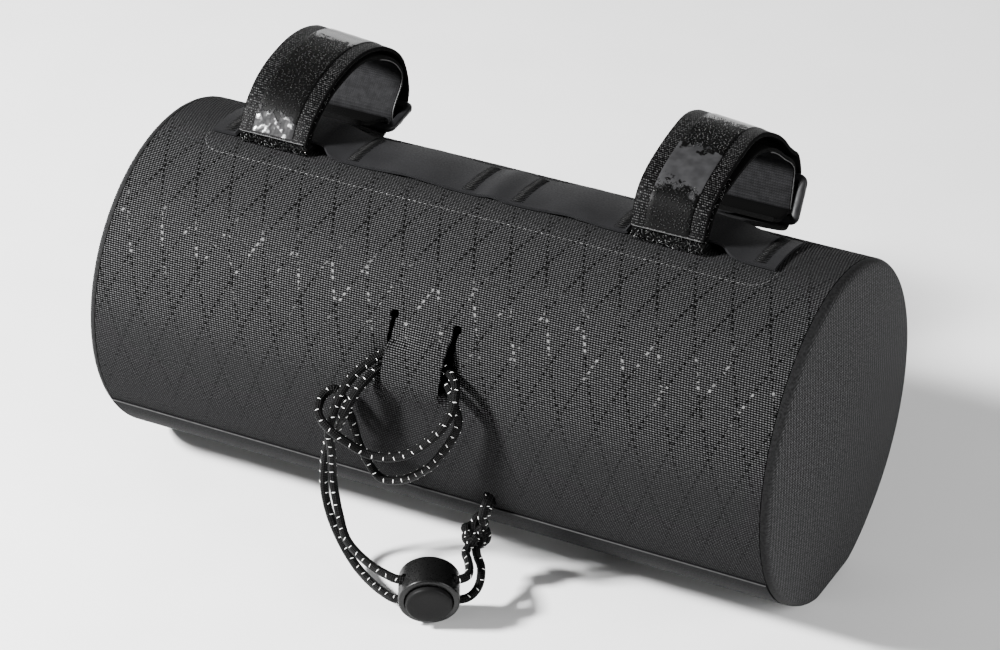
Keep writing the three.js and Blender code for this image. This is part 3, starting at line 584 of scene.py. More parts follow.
def braid_material(name):
    """Braided cover of a shock cord: two sets of black yarns crossing at a slant."""
    pick = colours()
    material, tree, shader = new_material(name, pick.cord, 0.5, 0.05)
    round_it, along = pattern_axes(tree)
    cross = [
        maths(tree, "SINE", maths(tree, "MULTIPLY", maths(tree, operation, along, round_it),
                                  TAU / 1.5))
        for operation in ("ADD", "SUBTRACT")
    ]
    height = ramp(tree, maths(tree, "MULTIPLY", *cross), -1, 1, 0, 1)
    deep = [0.25 * share for share in pick.cord]
    tree.links.new(blend(tree, height, rgba(deep), rgba(pick.cord)), shader.inputs["Base Color"])
    relief(tree, shader, height, 0.25)
    return material


def new_tree(name, **inputs):
    """A geometry node tree and its inputs' sockets, each input given with its kind."""
    tree = bpy.data.node_groups.new(name, "GeometryNodeTree")
    for label, kind in {"Geometry": "Geometry", **inputs}.items():
        tree.interface.new_socket(label, in_out="INPUT", socket_type=f"NodeSocket{kind}")
    tree.interface.new_socket("Geometry", in_out="OUTPUT", socket_type="NodeSocketGeometry")
    return tree, add(tree, "NodeGroupInput").outputs


def end_tree(tree, placed, finish):
    """Ends a tree: its instances are made real and given their finish."""
    solid = add(tree, "GeometryNodeRealizeInstances", (), {0: placed.outputs[0]})
    dressed = add(tree, "GeometryNodeSetMaterial", (), {
        "Geometry": solid.outputs[0], "Material": finish,
    })
    add(tree, "NodeGroupOutput", (), {0: dressed.outputs[0]})
    return tree


def row_tree():
    """Node tree: oval beads, such as stitches, in a row along each edge path of a mesh."""
    tree, given = new_tree(ROW_TREE, Spacing="Float", Size="Vector", Turn="Float",
                           Jitter="Float", Seed="Int", Finish="Material")
    path = add(tree, "GeometryNodeMeshToCurve", (), {0: given["Geometry"]})
    even = add(tree, "GeometryNodeResampleCurve", {"mode": "LENGTH"}, {
        "Curve": path.outputs[0], "Length": given["Spacing"],
    })
    up = add(tree, "GeometryNodeInputNamedAttribute", {"data_type": "FLOAT_VECTOR"},
             {"Name": "face_up"})
    tangent = add(tree, "GeometryNodeInputTangent")
    ahead = add(tree, "FunctionNodeAlignRotationToVector", {"axis": "X"},
                {"Vector": tangent.outputs[0]})
    upright = add(tree, "FunctionNodeAlignRotationToVector", {"axis": "Z", "pivot_axis": "X"}, {
        "Rotation": ahead.outputs[0], "Vector": up.outputs[0],
    })
    index = add(tree, "GeometryNodeInputIndex")
    odd = maths(tree, "FLOORED_MODULO", index.outputs[0], 2.0)
    side = maths(tree, "SUBTRACT", 1.0, maths(tree, "MULTIPLY", odd, 2.0))
    spread = add(tree, "FunctionNodeRandomValue", {"data_type": "FLOAT"}, {
        2: maths(tree, "MULTIPLY", given["Jitter"], -1.0), 3: given["Jitter"],
        "Seed": given["Seed"],
    })
    angle = maths(tree, "ADD", maths(tree, "MULTIPLY", given["Turn"], side), spread.outputs[1])
    swing = add(tree, "FunctionNodeAxisAngleToRotation", (), {
        "Axis": (0, 0, 1), "Angle": angle,
    })
    turned = add(tree, "FunctionNodeRotateRotation", {"rotation_space": "LOCAL"}, {
        "Rotation": upright.outputs[0], "Rotate By": swing.outputs[0],
    })
    bead = add(tree, "GeometryNodeMeshUVSphere", (), {"Segments": 6, "Rings": 4, "Radius": 0.5})
    placed = add(tree, "GeometryNodeInstanceOnPoints", (), {
        "Points": even.outputs[0], "Instance": bead.outputs[0],
        "Rotation": turned.outputs[0], "Scale": given["Size"],
    })
    return end_tree(tree, placed, given["Finish"])


def scatter_tree():
    """Node tree: small arches, such as pile loops or moulded hooks, over a surface."""
    tree, given = new_tree(LOOP_TREE, Spacing="Float", Radius="Float", Thread="Float",
                           Tilt="Float", Seed="Int", Finish="Material")
    cover = add(tree, "GeometryNodeInputNamedAttribute", {"data_type": "FLOAT"},
                {"Name": "cover"})
    crowd = maths(tree, "DIVIDE", 1.2, maths(tree, "MULTIPLY", given["Spacing"], given["Spacing"]))
    points = add(tree, "GeometryNodeDistributePointsOnFaces", {"distribute_method": "POISSON"}, {
        "Mesh": given["Geometry"], "Distance Min": given["Spacing"], "Density Max": crowd,
        "Density Factor": cover.outputs[0], "Seed": given["Seed"],
    })
    lean = maths(tree, "MULTIPLY", given["Tilt"], -1.0)
    low = add(tree, "ShaderNodeCombineXYZ", (), {0: lean, 1: lean, 2: 0.0})
    high = add(tree, "ShaderNodeCombineXYZ", (), {0: given["Tilt"], 1: given["Tilt"], 2: TAU})
    swing = add(tree, "FunctionNodeRandomValue", {"data_type": "FLOAT_VECTOR"}, {
        0: low.outputs[0], 1: high.outputs[0], "Seed": given["Seed"],
    })
    spin = add(tree, "FunctionNodeEulerToRotation", (), {0: swing.outputs[0]})
    turned = add(tree, "FunctionNodeRotateRotation", {"rotation_space": "LOCAL"}, {
        "Rotation": points.outputs["Rotation"], "Rotate By": spin.outputs[0],
    })
    arc = add(tree, "GeometryNodeCurveArc", (), {
        "Resolution": 6, "Radius": given["Radius"], "Start Angle": -0.3,
        "Sweep Angle": math.pi + 0.6,
    })
    tube = add(tree, "GeometryNodeCurvePrimitiveCircle", (), {
        "Resolution": 4, "Radius": given["Thread"],
    })
    loop = add(tree, "GeometryNodeCurveToMesh", (), {
        "Curve": arc.outputs[0], "Profile Curve": tube.outputs[0], "Fill Caps": True,
    })
    standing = add(tree, "GeometryNodeTransform", (), {
        "Geometry": loop.outputs[0], "Rotation": (math.pi / 2, 0, 0),
    })
    placed = add(tree, "GeometryNodeInstanceOnPoints", (), {
        "Points": points.outputs[0], "Instance": standing.outputs[0],
        "Rotation": turned.outputs[0],
    })
    return end_tree(tree, placed, given["Finish"])


# Each finish: its material's name, what makes it, and for a simple one its colour and values.
FINISHES = {
    "laminate": ("woven_nylon_laminate", laminate_material),
    "end_cloth": ("woven_end_cloth", end_cloth_material),
    "base": ("coated_base_cloth", coated_material, "base", 0.6, 0.015),
    "strip": ("coated_strip_cloth", coated_material, "strip", 0.55, 0.05),
    "backing": ("coated_backing_cloth", coated_material, "backing", 0.6, 0.05),
    "webbing": ("woven_strap", webbing_material),
    "lining": ("strap_lining", lining_material),
    # Ground of the loop pile: black, without any shine.
    "pile": ("nylon_pile_ground", plain_material, "pile", 0.9, 0.4, 0.05, 0.02),
    # Nylon loops: black and hairy, with strands that sparkle.
    "loops": ("nylon_loop_pile", plain_material, "pile", 0.3, 0.4, 0.05),
    "tape_left": ("hook_tape_ground_left", tape_material, "left"),
    "tape_right": ("hook_tape_ground_right", tape_material, "right"),
    # Moulded nylon hooks: black and shiny.
    "hook": ("moulded_hook_nylon", plain_material, "hook", 0.28, 1.5, 0.1),
    # Acetal: smooth, with a wide soft highlight.
    "ring": ("acetal_ring", plain_material, "ring", 0.42, 3, 0.02, 0.16),
    "braid": ("braided_polyester", braid_material),
    # Glass-bead yarn: white and bright.
    "fleck": ("reflective_yarn", plain_material, "fleck", 0.4, 0.3, 0.02),
    # Moulded acetal with a fine spark-eroded grain.
    "lock": ("moulded_lock_acetal", plain_material, "lock", 0.34, 0.5, 0.015, 0.2),
    "button": ("moulded_button_acetal", plain_material, "button", 0.5, 0.5, 0.012, 0.06),
    # Heat-sealed nylon: a thin line, coloured lighter as a painted highlight where it catches the
    # light faintly.
    "edge": ("heat_sealed_edge", plain_material, "edge", 0.35, 1.2, 0.05),
    # Welded film: a broken line with a soft shine.
    "weld": ("welded_film", plain_material, "weld", 0.35, 1.2, 0.3),
    # Folded and woven edges: dark, with a faint light line that is a painted highlight.
    "rim": ("woven_edge", plain_material, "rim", 0.5, 0.6, 0.05),
    "base_edge": ("coated_edge", plain_material, "rim", 0.6, 2, 0.05, 0.05),
    # Bonded polyester thread: black with a dull shine.
    "thread": ("bonded_thread", plain_material, "sewing", 0.5, 0.4, 0.05, 0.06),
    # Studio paper: plain, pale and matt.
    "floor": ("studio_floor", plain_material, "floor", 0.8, 40, 0.01),
}


def finish_of(name):
    """The finish of a kind of piece, made when it is first asked for."""
    label, make, *values = FINISHES[name]
    return bpy.data.materials.get(label) or make(label, *values)


def new_piece(name, vertices, faces, finishes, pattern=None, picks=None):
    """A mesh piece; pattern gives each vertex its flat place, picks each face its finish."""
    mesh = bpy.data.meshes.new(name)
    mesh.from_pydata(vertices, [], faces)
    if pattern:
        layer = mesh.uv_layers.new(name="pattern")
        for loop in mesh.loops:
            layer.data[loop.index].uv = pattern[loop.vertex_index]
    for finish in finishes:
        mesh.materials.append(finish_of(finish))
    if picks:
        mesh.polygons.foreach_set("material_index", picks)
    mesh.shade_smooth()
    mesh.set_sharp_from_angle(angle=SHARP_ANGLE)
    piece = bpy.data.objects.new(name, mesh)
    bpy.context.scene.collection.objects.link(piece)
    return piece


def baked(piece):
    """Makes what a piece's modifiers give its plain mesh."""
    graph = bpy.context.evaluated_depsgraph_get()
    mesh = bpy.data.meshes.new_from_object(
        piece.evaluated_get(graph), preserve_all_data_layers=True, depsgraph=graph)
    piece.modifiers.clear()
    piece.data = mesh
    return piece


def thicken(piece, thickness):
    """Gives a sheet its thickness, on the side away from its faces."""
    wall = piece.modifiers.new("thickness", "SOLIDIFY")
    wall.thickness = thickness
    wall.offset = -1
    wall.use_even_offset = True
    baked(piece)
    piece.data.set_sharp_from_angle(angle=SHARP_ANGLE)
    return piece


def grown(name, carrier, tree, inputs):
    """Runs a node tree on a carrier mesh and keeps what it gives as a plain mesh."""
    piece = bpy.data.objects.new(name, carrier)
    bpy.context.scene.collection.objects.link(piece)
    modifier = piece.modifiers.new(tree.name, "NODES")
    modifier.node_group = tree
    for item in tree.interface.items_tree:
        if item.in_out == "INPUT" and item.name in inputs:
            modifier[item.identifier] = inputs[item.name]
    baked(piece)
    if not piece.data.polygons:
        raise RuntimeError(f"{name}: the node tree gave no faces")
    piece.data.shade_smooth()
    return piece


def settle(piece, slot, *nodes, body="bag"):
    """Says what a piece rides on and which solids it stands for; its slot is not used."""
    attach(piece, body)
    if nodes:
        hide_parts(*nodes)
    return piece


def paths_mesh(name, paths):
    """Edge paths with the direction that faces up at each point: lists of (point, up)."""
    points = [row[0] for path in paths for row in path]
    ups = [row[1] for path in paths for row in path]
    edges = []
    start = 0
    for path in paths:
        edges += [(start + i, start + i + 1) for i in range(len(path) - 1)]
        start += len(path)
    mesh = bpy.data.meshes.new(name)
    mesh.from_pydata(points, edges, [])
    layer = mesh.attributes.new("face_up", "FLOAT_VECTOR", "POINT")
    layer.data.foreach_set("vector", [share for up in ups for share in up])
    return mesh


def beads(name, paths, spacing, size, turn, jitter, seed, finish):
    """Oval beads in a row along each path: a size in millimetres, a turn and jitter in degrees."""
    tree = bpy.data.node_groups.get(ROW_TREE) or row_tree()
    return grown(name, paths_mesh(name, paths), tree, {
        "Spacing": spacing, "Size": [side * MM for side in size], "Turn": math.radians(turn),
        "Jitter": math.radians(jitter), "Seed": seed, "Finish": finish_of(finish)})


def loops(carrier, radius, thread, tilt, seed, finish):
    """Small arches 0.8 mm apart over a carrier mesh: sizes in millimetres, a tilt in radians."""
    tree = bpy.data.node_groups.get(LOOP_TREE) or scatter_tree()
    return grown(carrier.name, carrier, tree, {
        "Spacing": 0.8 * MM, "Radius": radius * MM, "Thread": thread * MM, "Tilt": tilt,
        "Seed": seed, "Finish": finish_of(finish)})


def steps(low, high, count):
    return [low + (high - low) * i / count for i in range(count + 1)]


def smooth(low, high, value):
    share = min(1.0, max(0.0, (value - low) / (high - low)))
    return share * share * (3 - 2 * share)


def curve_through(points, spacing):
    """An even line through points, on a centripetal spline."""
    points = [Vector(p) for p in points]
    ends = [2 * points[0] - points[1], *points, 2 * points[-1] - points[-2]]
    rough = [points[0]]
    for p0, p1, p2, p3 in zip(ends, ends[1:], ends[2:], ends[3:]):
        t1 = math.sqrt((p1 - p0).length)
        t2 = t1 + math.sqrt((p2 - p1).length)
        t3 = t2 + math.sqrt((p3 - p2).length)
        for t in steps(t1, t2, 12)[1:]:
            a1 = p0.lerp(p1, t / t1)
            a2 = p1.lerp(p2, (t - t1) / (t2 - t1))
            a3 = p2.lerp(p3, (t - t2) / (t3 - t2))
            b1 = a1.lerp(a2, t / t2)
            b2 = a2.lerp(a3, (t - t1) / (t3 - t1))
            rough.append(b1.lerp(b2, (t - t1) / (t2 - t1)))
    return even_line(rough, spacing)


def even_line(rough, spacing):
    """The same line with evenly spaced points."""
    total = sum((b - a).length for a, b in zip(rough, rough[1:]))
    count = max(2, round(total / spacing))
    line = [rough[0]]
    walked = 0.0
    for a, b in zip(rough, rough[1:]):
        piece = (b - a).length
        while len(line) < count and walked + piece >= total * len(line) / count:
            line.append(a.lerp(b, (total * len(line) / count - walked) / piece))
        walked += piece
    return [*line, rough[-1]]


def line_length(line):
    return sum((b - a).length for a, b in zip(line, line[1:]))


def frames_along(line):
    """Unturned frames along a line: (point, tangent, side, up) at each point."""
    tangents = [
        (line[min(i + 1, len(line) - 1)] - line[max(i - 1, 0)]).normalized()
        for i in range(len(line))
    ]
    side = tangents[0].orthogonal().normalized()
    rows = []
    for point, tangent in zip(line, tangents):
        side = (side - tangent * side.dot(tangent)).normalized()
        rows.append((point, tangent, side, tangent.cross(side)))
    return rows


def tube(name, line, radius, sides, finish):
    """A closed round tube along a line, with its flat pattern round and along it."""
    vertices, pattern = [], []
    walked = 0.0
    rows = frames_along(line)
    for i, (point, _, side, up) in enumerate(rows):
        if i:
            walked += (point - rows[i - 1][0]).length
        for k in range(sides + 1):
            turn = TAU * k / sides
            vertices.append(point + radius * (math.cos(turn) * side + math.sin(turn) * up))
            pattern.append((radius * turn, walked))
    last = len(vertices) - sides - 1
    faces = grid_faces(len(rows), sides + 1)
    faces += [tuple(range(sides - 1, -1, -1)), tuple(range(last, last + sides))]
    piece = new_piece(name, vertices, faces, [finish], pattern)
    merge_doubles(piece.data)
    return piece


def grid_faces(rows, wide, flip=False, around=False, closed=False):
    """Quads over rows of points; around joins each row's ends, closed the last row to the first."""
    faces = []
    for i in range(rows if closed else rows - 1):
        here, there = i * wide, (i + 1) % rows * wide
        for k in range(wide if around else wide - 1):
            after = (k + 1) % wide
            a, b, c, d = here + k, here + after, there + after, there + k
            faces.append((a, d, c, b) if flip else (a, b, c, d))
    return faces


def merge_doubles(mesh):
    made = bmesh.new()
    made.from_mesh(mesh)
    bmesh.ops.remove_doubles(made, verts=made.verts, dist=1e-7)
    made.to_mesh(mesh)
    made.free()


def on_section(x, angle, radius):
    """A point on the bag's round section."""
    turn = math.radians(angle)
    return Vector((x, -radius * math.cos(turn), sizes().radius + radius * math.sin(turn)))


def section_out(angle):
    turn = math.radians(angle)
    return Vector((0, -math.cos(turn), math.sin(turn)))


def arc(angle):
    """An angle round the bag as a length of cloth."""
    return math.radians(angle) * sizes().radius


def section_radius(angle):
    """The section is round, and flat where the bag rests."""
    radius = sizes().radius
    down = abs((angle - 90) % 360 - 180)
    if down <= REST_HALF_ANGLE:
        return radius / math.cos(math.radians(down))
    bulge = radius / math.cos(math.radians(REST_HALF_ANGLE)) - radius
    return radius + bulge * (1 - smooth(REST_HALF_ANGLE, REST_BLEND_ANGLE, down))


def bridge_lift(x, angle):
    """How far the cord under the bridge pushes it out, and the panel beside the slits in."""
    size = sizes()
    place = x / MM
    reach = abs(place)
    rise = size.bridge_lift * smooth(BRIDGE_FOOT, SLIT_BOTTOM + 1, angle)
    if reach < SLIT_X:
        left, right = [1 - smooth(BRIDGE_HIGH, top, angle) for top in (BRIDGE_LEFT_TOP, SLIT_TOP)]
        return rise * (left + (right - left) * smooth(-SLIT_X, 2, place))
    low = rise * (1 - smooth(BRIDGE_LOW, SLIT_BOTTOM, angle))
    dent = (size.dent * smooth(SLIT_BOTTOM, SLIT_BOTTOM + 2, angle)
            * (1 - smooth(BRIDGE_HIGH, DENT_TOP, angle)))
    return (low - dent) * (1 - smooth(SLIT_X, SLIT_X + BRIDGE_SPREAD, reach))


def ripple(x, angle):
    """Soft waves in the laminate, which die out at its seams, the strip and the hole."""
    edge = smooth(0, 0.03, min(x - sizes().panel_left, sizes().panel_right - x))
    front = smooth(FRONT_SEAM + 8, FRONT_SEAM + 20, angle) * (1 - smooth(58, 72, angle))
    back = smooth(112, 124, angle) * (1 - smooth(150, 160, angle))
    wave = noise.noise(Vector((x / 0.045, arc(angle) / 0.03, 1.7)))
    return sizes().ripple * wave * edge * (front + back)


def skin(x, angle, lift=0.0):
    """A point on the main panel's face."""
    radius = sizes().radius + bridge_lift(x, angle) + ripple(x, angle) + lift
    return on_section(x, angle, radius)


def inside(point, ring):
    """Whether a flat point lies in a ring of points."""
    x, y = point
    hit = False
    for (x0, y0), (x1, y1) in zip(ring, ring[1:] + ring[:1]):
        if (y0 > y) != (y1 > y) and x < x0 + (x1 - x0) * (y - y0) / (y1 - y0):
            hit = not hit
    return hit


def cut_cloth(name, left, right, low, high, holes, place, thickness, finish):
    """A rectangle of cloth with holes, cut flat and laid on a surface: place(x, length)."""
    step = sizes().cloth_step
    columns = steps(left, right, round((right - left) / step))
    rows = steps(low, high, round((high - low) / step))
    border = ([(x, low) for x in columns] + [(right, y) for y in rows[1:]]
              + [(x, high) for x in reversed(columns[:-1])]
              + [(left, y) for y in reversed(rows[1:-1])])
    near = [(p, 0.55 * step) for hole in holes for p in hole]
    middle = [
        (x, y) for y in rows[1:-1] for x in columns[1:-1]
        if not any(inside((x, y), hole) for hole in holes)
        and all(abs(x - p[0]) > d or abs(y - p[1]) > d for p, d in near)
    ]
    points = list(border)
    loops = [list(range(len(border)))]
    for hole in holes:
        loops.append(list(range(len(points), len(points) + len(hole))))
        points += hole
    edges = [(a, b) for loop in loops for a, b in zip(loop, loop[1:] + loop[:1])]
    flat, _, faces, *_ = delaunay_2d_cdt(
        [Vector(p) for p in points + middle], edges, [], 0, 1e-7)
    kept = []
    for face in faces:
        centre = sum((flat[i] for i in face), Vector((0, 0))) / len(face)
        if not any(inside(tuple(centre), hole) for hole in holes):
            kept.append(face)
    piece = new_piece(name, [place(*p) for p in flat], kept, [finish], [tuple(p) for p in flat])
    return thicken(piece, thickness)


def slit_ring(x):
    """Outline of a slit on the flat cloth: a narrow slot with a punched eye at its top."""
    half, eye = sizes().slit_width / 2, sizes().slit_eye
    low, high = arc(SLIT_BOTTOM), arc(SLIT_TOP)
    opening = math.asin(half / eye)
    turns = steps(-math.pi / 2 + opening, 1.5 * math.pi - opening, 14)
    top = [(x + eye * math.cos(t), high - eye + eye * math.sin(t)) for t in turns]
    sides = steps(high - 2 * eye, low, 6)
    left = [(x - half, y) for y in sides[1:]]
    right = [(x + half, y) for y in reversed(sides[1:])]
    return [*top, *left, *right]


def hole_ring():
    """Outline of the cord hole on the flat cloth."""
    flat, end = 1.7 * MM, 2 * MM
    ring = []
    for side, start in ((1, 0), (-1, math.pi)):
        ring += [(HOLE_X * MM + end * math.cos(start + t),
                  arc(HOLE_ANGLE) + side * flat + end * math.sin(start + t))
                 for t in steps(0, math.pi, 8)]
    return ring


class BAG_OT_main_panel(bpy.types.Operator):
    """Rolls the laminate main panel, with its slits, cord hole and zip opening"""
    bl_idname = "bag.main_panel"
    bl_label = "Main panel"

    def execute(self, context):
        size = sizes()
        zip_half = (ZIP_HIGH[0] + ZIP_GAP * MM, (ZIP_HALF_WIDTH + ZIP_GAP) * MM)
        zip_ring = [(x * zip_half[0], arc(ZIP_ANGLE) + y * zip_half[1])
                    for x, y in ((-1, -1), (1, -1), (1, 1), (-1, 1))]
        holes = [slit_ring(-SLIT_X * MM), slit_ring(SLIT_X * MM), hole_ring(), zip_ring]
        panel = cut_cloth(
            "bag_main_panel", size.panel_left, size.panel_right, arc(FRONT_SEAM + SEAM_GAP_ANGLE),
            arc(BACK_SEAM - SEAM_GAP_ANGLE), holes,
            lambda x, y: skin(x, math.degrees(y / size.radius)), size.cloth, "laminate")
        settle(panel, "laminate", "main_panel")
        return {"FINISHED"}


class BAG_OT_base_panel(bpy.types.Operator):
    """Lays the coated base panel, flat where the bag rests, with its lapped seams"""
    bl_idname = "bag.base_panel"
    bl_label = "Base panel"

    def execute(self, context):
        size = sizes()
        half = FRONT_SEAM + 360 - SEAM_GAP_ANGLE - BASE_ANGLE

        def place(x, y):
            angle = BASE_ANGLE + math.degrees(y / size.radius)
            lap = SEAM_LAP * MM * smooth(LAP_START, LAP_END, abs(angle - BASE_ANGLE))
            return on_section(x, angle, section_radius(angle) + lap)

        panel = cut_cloth("bag_base_panel", size.panel_left, size.panel_right, -arc(half),
                          arc(half), [], place, size.cloth, "base")
        settle(panel, "coated_cloth", "base_panel")
        columns = steps(size.panel_left, size.panel_right, 60)
        # Each seam gets a thin line in the woven edges' lighter colour, a painted highlight along
        # its lap.
        for name, y, angle in (("front", arc(half), FRONT_SEAM), ("back", -arc(half), BACK_SEAM)):
            line = [place(x, y) + 0.1 * MM * section_out(angle) for x in columns]
            settle(tube(f"bag_seam_{name}", line, 0.22 * MM, 6, "base_edge"), "coated_cloth")
        return {"FINISHED"}


class BAG_OT_end_panels(bpy.types.Operator):
    """Makes the two domed end panels with their rolled rims"""
    bl_idname = "bag.end_panels"
    bl_label = "End panels"

    def execute(self, context):
        size = sizes()
        rim, depth, dome, lip = 0.3 * MM, 3 * MM, 2.1 * MM, 2.4 * MM
        tuck, nip, turn_in = 1.5 * MM, 1.4 * MM, 0.05
        angles = steps(0, 360, 144)[:-1]
        for side, sign, edge in (("left", -1, -size.panel_left), ("right", 1, size.panel_right)):
            reach = edge + rim + depth + dome
            profile = [(1 - tuck / size.radius, edge - lip),
                       (1 - nip / size.radius, edge + 0.05 * MM)]
            for turn in steps(0, 90, 7):
                bend = math.radians(turn)
                profile.append((1 - turn_in * (1 - math.cos(bend)),
                                edge + rim + depth * math.sin(bend)))
            for share in (0.9, 0.8, 0.68, 0.54, 0.4, 0.26, 0.12):
                profile.append((share, reach - dome * (share / (1 - turn_in)) ** 2))
            vertices, pattern = [], []
            # The pattern is laid flat: each ring is as far out as the cloth runs from the middle.
            flat = [math.hypot((s1 - s0) * size.radius, x1 - x0)
                    for (s0, x0), (s1, x1) in zip(profile, [*profile[1:], (0, reach)])]
            for i, (share, x) in enumerate(profile):
                vertices += [on_section(sign * x, a, section_radius(a) * share) for a in angles]
                pattern += [sum(flat[i:]) * Vector((math.cos(a), math.sin(a)))
                            for a in map(math.radians, angles)]
            vertices.append(Vector((sign * reach, 0, size.radius)))
            pattern.append((0, 0))
            count, tip = len(angles), len(vertices) - 1
            last = tip - count
            faces = grid_faces(len(profile), count, around=True)
            faces += [(last + k, last + (k + 1) % count, tip) for k in range(count)]
            if sign > 0:
                faces = [face[::-1] for face in faces]
            cap = new_piece(f"bag_end_{side}", vertices, faces, ["end_cloth"], pattern)
            settle(thicken(cap, size.cloth), "laminate", f"end_cap_{side}")
        return {"FINISHED"}


class BAG_OT_zip(bpy.types.Operator):
    """Makes the zip on the back: its two tapes and the closed coil between them"""
    bl_idname = "bag.zip"
    bl_label = "Zip"

    def execute(self, context):
        size = sizes()
        half, lap = ZIP_HALF_WIDTH * MM, 0.3 * MM
        rows = []
        for side in (-1, 1):
            rows.append([(side * y, lift) for y, lift in (
                (half, 0.0), (half - 0.5 * MM, lap), (1.8 * MM, lap), (1.2 * MM, 0.0),
                (0.1 * MM, -0.2 * MM))])
        tapes = [*rows[0], *reversed(rows[1])]
        columns = steps(ZIP_LOW[0], ZIP_HIGH[0], 80)
        vertices, pattern = [], []
        for x in columns:
            for y, lift in tapes:
                angle = ZIP_ANGLE + math.degrees(y / size.radius)
                vertices.append(on_section(x, angle, size.radius + lift))
                pattern.append((x, y))
        faces = grid_faces(len(columns), len(tapes), flip=True)
        tape = new_piece("zip_tape", vertices, faces, ["strip"], pattern)
        settle(thicken(tape, 0.9 * MM), "coated_cloth", "zip_closure")
        out = section_out(ZIP_ANGLE)
        path = [(on_section(x, ZIP_ANGLE, size.radius), out) for x in columns]
        coil = beads("zip_coil", [path], 1.3 * MM, (0.8, 2.6, 0.7), 8, 0, 1, "hook")
        settle(coil, "coated_cloth")
        return {"FINISHED"}


class BAG_OT_slit_backing(bpy.types.Operator):
    """Lays the cloth that shows behind the slits"""
    bl_idname = "bag.slit_backing"
    bl_label = "Slit backing"

    def execute(self, context):
        size = sizes()
        half = BACKING_HIGH[0]

        def place(x, length):
            angle = math.degrees(length / size.radius)
            sag = (smooth(0, 6 * MM, half - abs(x))
                   * smooth(BACKING_BOTTOM, BACKING_BOTTOM + BACKING_EASE, angle)
                   * (1 - smooth(BACKING_TOP - BACKING_EASE, BACKING_TOP, angle)))
            return on_section(x, angle, size.radius - (BACKING_DEPTH + BACKING_SAG * sag) * MM)

        backing = cut_cloth("slit_backing", BACKING_LOW[0], half, arc(BACKING_BOTTOM),
                            arc(BACKING_TOP), [], place, size.cloth, "backing")
        settle(backing, "coated_cloth", "slit_backing")
        return {"FINISHED"}


def strip_lift(x):
    """How far the strip stands off the bag at a place along it."""
    place = x / MM
    for (x0, lift0), (x1, lift1) in zip(STRIP_LIFT, STRIP_LIFT[1:]):
        if place <= x1:
            return MM * (lift0 + (lift1 - lift0) * smooth(x0, x1, place))
    return 0.0


def strip_point(x, share, lift=0.0):
    """A point on the strip's face: share runs from its front edge to its back edge."""
    raised = strip_lift(x)
    front = STRIP_FRONT + (STRIP_FRONT_AT_STRAP - STRIP_FRONT) * smooth(0.8, 2.2, raised / MM)
    angle = front + (STRIP_BACK - front) * share
    radius = sizes().radius + STRIP_GAP * MM + raised + sizes().strip_cloth + lift
    return on_section(x, angle, radius), angle


class BAG_OT_strap_panel(bpy.types.Operator):
    """Lays the smooth strip on top, lifted over the straps, with its bar tacks"""
    bl_idname = "bag.strap_panel"
    bl_label = "Strap panel"

    def execute(self, context):
        columns = steps(STRIP_LOW[0], STRIP_HIGH[0], 214)
        shares = steps(0, 1, 12)
        vertices, pattern = [], []
        for x in columns:
            for share in shares:
                point, angle = strip_point(x, share)
                vertices.append(point)
                pattern.append((x, arc(angle)))
        faces = grid_faces(len(columns), len(shares), flip=True)
        strip = new_piece("strap_strip", vertices, faces, ["strip"], pattern)
        settle(thicken(strip, sizes().strip_cloth), "coated_cloth", "strap_panel")
        paths = []
        for x in TACK_X:
            path = []
            for share in steps(0.06, 0.94, 16):
                point, angle = strip_point(x * MM, share, 0.05 * MM)
                path.append((point, section_out(angle)))
            paths.append(path)
        tacks = beads("strip_bar_tacks", paths, 0.55 * MM, (0.5, 5.2, 0.55), 7, 6, 4, "thread")
        settle(tacks, "coated_cloth")
        return {"FINISHED"}


class BAG_OT_weld_line(bpy.types.Operator):
    """Draws the welded edge line along the top, with its turned-up ends"""
    bl_idname = "bag.weld_line"
    bl_label = "Weld line"

    def execute(self, context):
        half, corner = 0.108, 8 * MM
        points = []
        for side in (-1, 1):
            end = [(side * half, WELD_ANGLE + 24), (side * half, WELD_ANGLE + 9)]
            for turn in steps(0, 90, 6):
                bend = math.radians(turn)
                rise = math.degrees(corner * (1 - math.sin(bend)) / sizes().radius)
                end.append((side * (half - corner + corner * math.cos(bend)), WELD_ANGLE + rise))
            points += end if side < 0 else reversed(end)
        path = [(skin(x, angle, 0.02 * MM), section_out(angle)) for x, angle in points]
        dashes = beads("weld_line", [path], 2.1 * MM, (1.5, 0.22, 0.13), 0, 5, 2, "weld")
        settle(dashes, "laminate")
        return {"FINISHED"}


